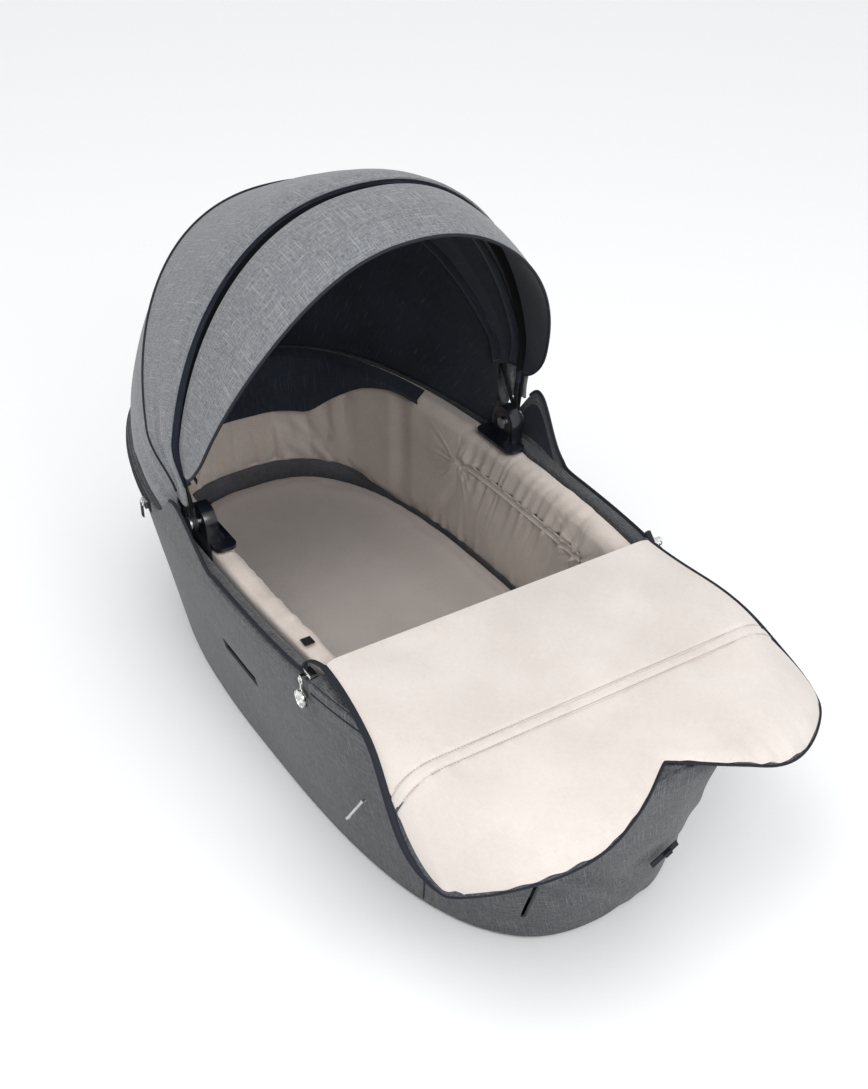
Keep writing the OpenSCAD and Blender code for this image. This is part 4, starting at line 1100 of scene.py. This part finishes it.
gusset_mesh = Finish("black_spacer_mesh", {"Roughness": 0.9, "Specular IOR Level": 0.2})
gusset_cut = gusset_mesh.cut()
pores = gusset_mesh.node("ShaderNodeTexVoronoi", {}, {"Vector": gusset_cut, "Scale": 700.0,
                                                      "Randomness": 0.1})
gusset_mesh.finish(gusset_mesh.blend(gusset_mesh.fade(pores, 0.2, 0.5), dye("020203"),
                                     dye("0d0e11")), None, pores, 0.4)
grid = []
for k in np.linspace(0, 1, 16):
    angle = lerp(87.2, 90.0, k)
    sag = 9 * np.sin(np.pi * k)
    grid.append(arch(angle, lerp(visor_back_w, main_w - 3, k), lerp(307, 305.5, k), 1.6 + sag,
                     60, 150, lerp(10, 14, k)))
gusset = cloth("visor_gusset_mesh", np.stack(grid), outside=hinge_inside)
thicken(gusset, 0.8)
place_piece(gusset, gusset_mesh, None, "black_mesh", "visor_gusset")
visor_zone = {"a": "main_bow", "b": "visor", "start": (0, 0.073, 0.259 + 0.22),
              "end": (0, 0.073 - 0.0523 * 0.22, 0.259 + 0.9986 * 0.22)}
for piece, zone in ((rear_hood, fold_zone), (rear_inside, fold_zone), (main_hood, bow_zone),
                    (main_inside, bow_zone), (gusset, visor_zone)):
    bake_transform(piece)
dress(tray_plastic, "rear_bow", "main_bow")

# Hood zip: two navy tapes and a coil round the head end, where the hood zips to the cot.
# A nickel slider sits near the left hinge, with a short cloth pull through its eye.
def head_row(inset, z, count=220):
    half_w, half_l = rim_half_w - inset, rim_half_l - inset
    t = np.linspace(np.radians(18), np.radians(162), 2400)
    row = np.stack([half_w * signed_power(np.cos(t), 2 / rim_n),
                    half_l * np.sin(t) ** (2 / rim_n), np.full_like(t, z)], 1)
    return spaced(row, count)


for number, (z, half, thick, lift) in enumerate([(227.6, 3.0, 0.8, 0.6), (219.6, 3.0, 0.8, 0.6),
                                                  (223.6, 1.2, 1.0, 1.0)]):
    tape = trim(f"hood_zip_{number + 1}", head_row(-lift, z), (0, 0, 1), lens(half, thick, 10))
    place_piece(tape, zip_navy, "cot", "zip_tape", *(["hood_zip_tape"] if number == 0 else []))
low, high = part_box("hood_zip_pull")
pull_x, pull_y = (low.x + high.x) * 500, (low.y + high.y) * 500
loop_path = [(pull_x, pull_y, z) for z in np.linspace(high.z * 1000 - 2, low.z * 1000, 8)]
hood_pull = trim("hood_pull_tab", loop_path, (0, 1, 0), lens(3.8, 1.0, 14))
place_piece(hood_pull, zip_navy, "hood_pull", "zip_tape", "hood_zip_pull")
pull_ring = wire_ring("hood_pull_ring", 0.0032, 0.0008, (pull_x * MM, pull_y * MM,
                                                        high.z - 0.0024))
place_piece(pull_ring, chrome, "hood_pull", "chromed_metal")

# Apron: a cloth cover buttoned over the foot end, with a big flap folded back over it.
# The fixed part is mélange cloth, sewn to the rim and stretched a little over the fold.
fold_y, fold_z, flap_l = 173.0, 249.0, 252.0
fold_half_w = rim_edge(fold_y, 17)


def flap_top(x, y):
    """Height of the flap over a point of the plan: it droops where it hangs past the rim."""
    share = ((np.abs(x) / rim_half_w) ** rim_n + (np.abs(y) / rim_half_l) ** rim_n) ** (1 / rim_n)
    return fold_z - 8.5 * (-y - fold_y) / flap_l - 1470 * np.maximum(0, share - 1) ** 2.35


apron = []
for v in np.linspace(0, 1, 40):
    y = -lerp(fold_y, rim_half_l - 4, v ** 0.7)
    u = np.linspace(-1, 1, 90)
    low = rim_z + 5.6
    high = max(low, fold_z - 8.6 - 8.5 * (-y - fold_y) / flap_l)
    apron.append(np.stack([u * rim_edge(y, 1.5), np.full_like(u, y),
                           lerp(low, high, 1 - np.abs(u) ** 6)], 1))
apron = np.stack(apron)
apron[..., 2] += 0.35 * clouds(apron.reshape(-1, 3), 50, 201).reshape(apron.shape[:2])
apron_cloth = cloth("foot_apron_cloth", apron, outside=(0, -300, 100))
thicken(apron_cloth, 1.4)
place_piece(apron_cloth, body_melange, "cot", "grey_melange_cloth", "foot_apron")

# Flap lining: pale cotton over a thin wadding, turned upwards because the flap lies folded back.
# A double-stitched seam crosses it, and its hem is drawn in, so the lobes pucker.
seam_from_fold, seam_gap = 156.0, 12.5


def flap_hem(u):
    """How far the flap reaches from the fold at a share of its half width."""
    reach = flap_l + 62 * np.sin(np.pi * np.abs(u) ** 0.9) ** 1.4
    return reach * lerp(1, 0.98, np.abs(u)) * lerp(0.98, 0.94, smooth(np.abs(u) * 3))


def flap_points(s, u):
    """A point of the flap: s runs from the fold to the hem, straight rows before the seam."""
    straight = 175.0
    hem = flap_hem(u)
    d = np.where(s < 0.62, s / 0.62 * straight, lerp(straight, hem, (s - 0.62) / 0.38))
    v = np.clip(d / hem, 0, 1)
    edge = 1 - 0.1 * v ** 6 * np.abs(u) ** 8
    x = u * (fold_half_w + 22 * smooth(1.25 * v)) * edge
    y = -fold_y - 0.6 - d
    hangs = smooth((-0.2 - u) / 0.6) * smooth((d - 95) / 170)
    flares = smooth((u - 0.4) / 0.5) * smooth((d - 150) / 90)
    z = flap_top(x - 17 * hangs, y)
    return np.stack([x - 24 * hangs + 9 * flares, y, z], -1), d, v


seam_s = [0.62 * (seam_from_fold + e) / 175.0 for e in (-seam_gap / 2, seam_gap / 2)]
s_rows = np.unique(np.round(np.concatenate(
    [np.linspace(0, 1, 78)] + [c + np.array([-2, -1, 0, 1, 2]) * 0.0042 for c in seam_s]), 5))
u_cols = np.sin(np.linspace(-np.pi / 2, np.pi / 2, 261) * 0.93) / np.sin(np.pi / 2 * 0.93)
S, U = np.meshgrid(s_rows, u_cols, indexing="ij")
flap, d, v = flap_points(S, U)
edge_near = np.minimum((1 - np.abs(U)) * 190, (flap_hem(U) - d))
lump = clouds(flap.reshape(-1, 3), 46, 211).reshape(S.shape)
broad = 1.9 * lump * smooth(edge_near / 30) * smooth(d / 25)
lobe = np.exp(-((np.abs(U) - 0.55) / 0.28) ** 2)
draw = (0.6 + 0.6 * waves(U * 185, 8, 212)) * np.exp(-np.maximum(edge_near, 0) / (10 + 9 * lobe))
draw *= smooth((d - 165) / 40) * (1.3 + 2.2 * lobe)
seam_lines = sum(-2.2 * np.exp(-((d - seam_from_fold - e) / 1.5) ** 2)
                 for e in (-seam_gap / 2, seam_gap / 2))
between = 0.8 * waves(flap[..., 0], 6, 213) * np.exp(-((d - seam_from_fold) / 6) ** 2)
off = np.abs(d - seam_from_fold) - seam_gap / 2
ruck = 1.6 * waves(flap[..., 0], 9, 214) * np.exp(-np.maximum(off, 0) / 14) * (off > 0)
ruck *= 0.4 + 0.6 * smooth((np.abs(U) - 0.3) / 0.5)
diagonals = 1.5 * waves(flap[..., 0] * 0.6 + flap[..., 1] * 0.9, 26, 215)
diagonals *= smooth((np.abs(U) - 0.6) / 0.3) * smooth(edge_near / 12) * smooth((d - 100) / 60)
swell = 1.6 * smooth(edge_near / 14) - 0.4
lining = flap.copy()
lining[..., 2] += broad + draw + seam_lines + between + ruck + diagonals + swell
lining[..., 2] -= 2.2 * np.exp(-np.maximum(edge_near, 0) / 2.2)
flap_lining = cloth("flap_lining_cloth", lining, outside=(0, -300, 100))
thicken(flap_lining, 2.6, even=False)
pale_cotton = plain_weave("pale_cotton", "c3bab4", "d4ccc6", 1500, 0.72, 0.3)
place_piece(flap_lining, pale_cotton, "apron_flap", "pale_lining", "apron_flap_lining")

under = flap.copy()
under[..., 2] = np.minimum(under[..., 2] - 3.6, lining[..., 2] - 2.9)
flap_outer = cloth("flap_outer_cloth", under, outside=(0, -300, 900))
thicken(flap_outer, 1.4, even=False)
place_piece(flap_outer, body_melange, "apron_flap", "grey_melange_cloth", "apron_flap_outer")

# Stitching on the flap's seam: two rows of pale thread, 3 mm to the stitch; the thread is coloured
# a darker tan, which paints in the shade of the seam's groove.
# Each stitch is a small raised bar, sunk in the seam's groove.
def stitches(name, path, up, pitch=3.1, length=2.3, radius=0.27):
    walk = np.concatenate([[0], np.cumsum(np.linalg.norm(np.diff(path, axis=0), axis=1))])
    solid = bmesh.new()
    for start in np.arange(1.0, walk[-1] - length, pitch):
        a, b = [np.array([np.interp(at, walk, path[:, k]) for k in range(3)])
                for at in (start, start + length)]
        forward = (b - a) / np.linalg.norm(b - a)
        side = np.cross(up, forward)
        rings = []
        for share, scale in ((0, 0.35), (0.2, 1), (0.8, 1), (1, 0.35)):
            at = a + (b - a) * share
            rings.append([solid.verts.new(Vector(at + radius * scale * (
                side * cos(t) + np.cross(forward, side) * sin(t))) * MM)
                for t in np.arange(5) * tau / 5])
        for p, q in zip(rings, rings[1:]):
            for i in range(5):
                solid.faces.new((p[i], p[(i + 1) % 5], q[(i + 1) % 5], q[i]))
        solid.faces.new(rings[0][::-1])
        solid.faces.new(rings[-1])
    made = from_solid(name, solid)
    made.data.shade_smooth()
    return made


# This tan is darker than the pale thread itself: painted shade from the seam's groove.
groove_shaded_thread = moulded("thread_with_groove_shade", "8f877c", "a69e93", 0.7)
for number, s in enumerate(seam_s):
    row, _, _ = flap_points(np.full(120, s), np.linspace(-0.985, 0.985, 120))
    row[:, 2] += 0.35
    row = spaced(row, 260)
    seam = stitches(f"flap_stitches_{number + 1}", row, np.array([0, 0, 1.0]))
    place_piece(seam, groove_shaded_thread, "apron_flap", "pale_lining")

# Flap zip: the navy tape and coil sewn round the flap's edge, just under its lining.
# It meets the rim zips in a small free loop at each end of the fold.
s_edge = np.linspace(0, 1, 70)
left_edge, _, _ = flap_points(s_edge, np.full(70, -1.0))
hem_edge, _, _ = flap_points(np.full(220, 1.0), np.linspace(-1, 1, 220))
right_edge, _, _ = flap_points(s_edge[::-1], np.full(70, 1.0))
around_flap = spaced(np.concatenate([left_edge, hem_edge[1:-1], right_edge]), 420)
step = np.gradient(around_flap, axis=0)
out = np.stack([step[:, 1], -step[:, 0], np.zeros(len(step))], 1)
out /= np.linalg.norm(out, axis=1, keepdims=True)
if (out * (around_flap - np.array([0, -300, 240]))).sum() < 0:
    out = -out
at_side = smooth((around_flap[:, 1] + 410) / 50) * np.where(around_flap[:, 0] < 0, 1, 0.3)
zip_line = around_flap + out * (-1.6 + 3.8 * at_side)[:, None] + np.array([0, 0, -3.2])
flap_tape = trim("flap_zip_tape", zip_line, out, lens(3.2, 0.9, 12))
place_piece(flap_tape, zip_navy, "apron_flap", "zip_tape")
flap_coil = trim("flap_zip_coil", zip_line + out * 3.2, out, lens(0.9, 1.0, 8))
place_piece(flap_coil, zip_navy, "apron_flap", "zip_tape")

for side, name in SIDES:
    k = np.linspace(0, 1, 30)[:, None]
    foot = np.array([side * (rim_edge(168, 4.0)), -160.0, 233.6])
    head = np.array([side * (fold_half_w + 2.4), -176.0, 245.4])
    bow = np.array([side * (rim_edge(168, 5.0)), -150.0, 250.5])
    curl = (1 - k) ** 2 * foot + 2 * k * (1 - k) * bow + k ** 2 * head
    loop = trim(f"fold_loop_{name}", curl, (side, 0, 0), lens(2.9, 0.9, 12))
    place_piece(loop, zip_navy, None, "zip_tape")
    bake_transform(loop)

# Side loops, seams and foot vent: steel bars for the apron's elastics, panel seams, a small zip.
# Each seam is felled and shows as a narrow raised line.
dress(chrome, "side_loops")
dress(zip_navy, "foot_vent_zip")
seam_thread = moulded("dark_seam", "1c1e22", "2a2c31", 0.85)
for name, place in (("foot_left", (-142, -274)), ("foot_right", (142, -274)),
                    ("head_left", (-142, 274)), ("head_right", (142, 274))):
    line = []
    for z in np.linspace(10, 200, 40):
        ring = wall_ring(z, -0.15)
        want = np.arctan2(place[1] / rim_half_l, place[0] / rim_half_w)
        have = np.arctan2(ring[:, 1] / rim_half_l, ring[:, 0] / rim_half_w)
        p = ring[np.argmin(np.abs((have - want + np.pi) % tau - np.pi))]
        line.append(p)
    line = np.array(line)
    line[:, 0] = np.polyval(np.polyfit(line[:, 2], line[:, 0], 3), line[:, 2])
    line[:, 1] = np.polyval(np.polyfit(line[:, 2], line[:, 1], 3), line[:, 2])
    direction = line[:, :2] / np.linalg.norm(line[:, :2], axis=1, keepdims=True)
    side = np.stack([-direction[:, 1], direction[:, 0], np.zeros(40)], 1)
    seam = trim(f"panel_seam_{name}", line, side, lens(1.0, 0.9, 8))
    place_piece(seam, seam_thread, "cot", "grey_melange_cloth")
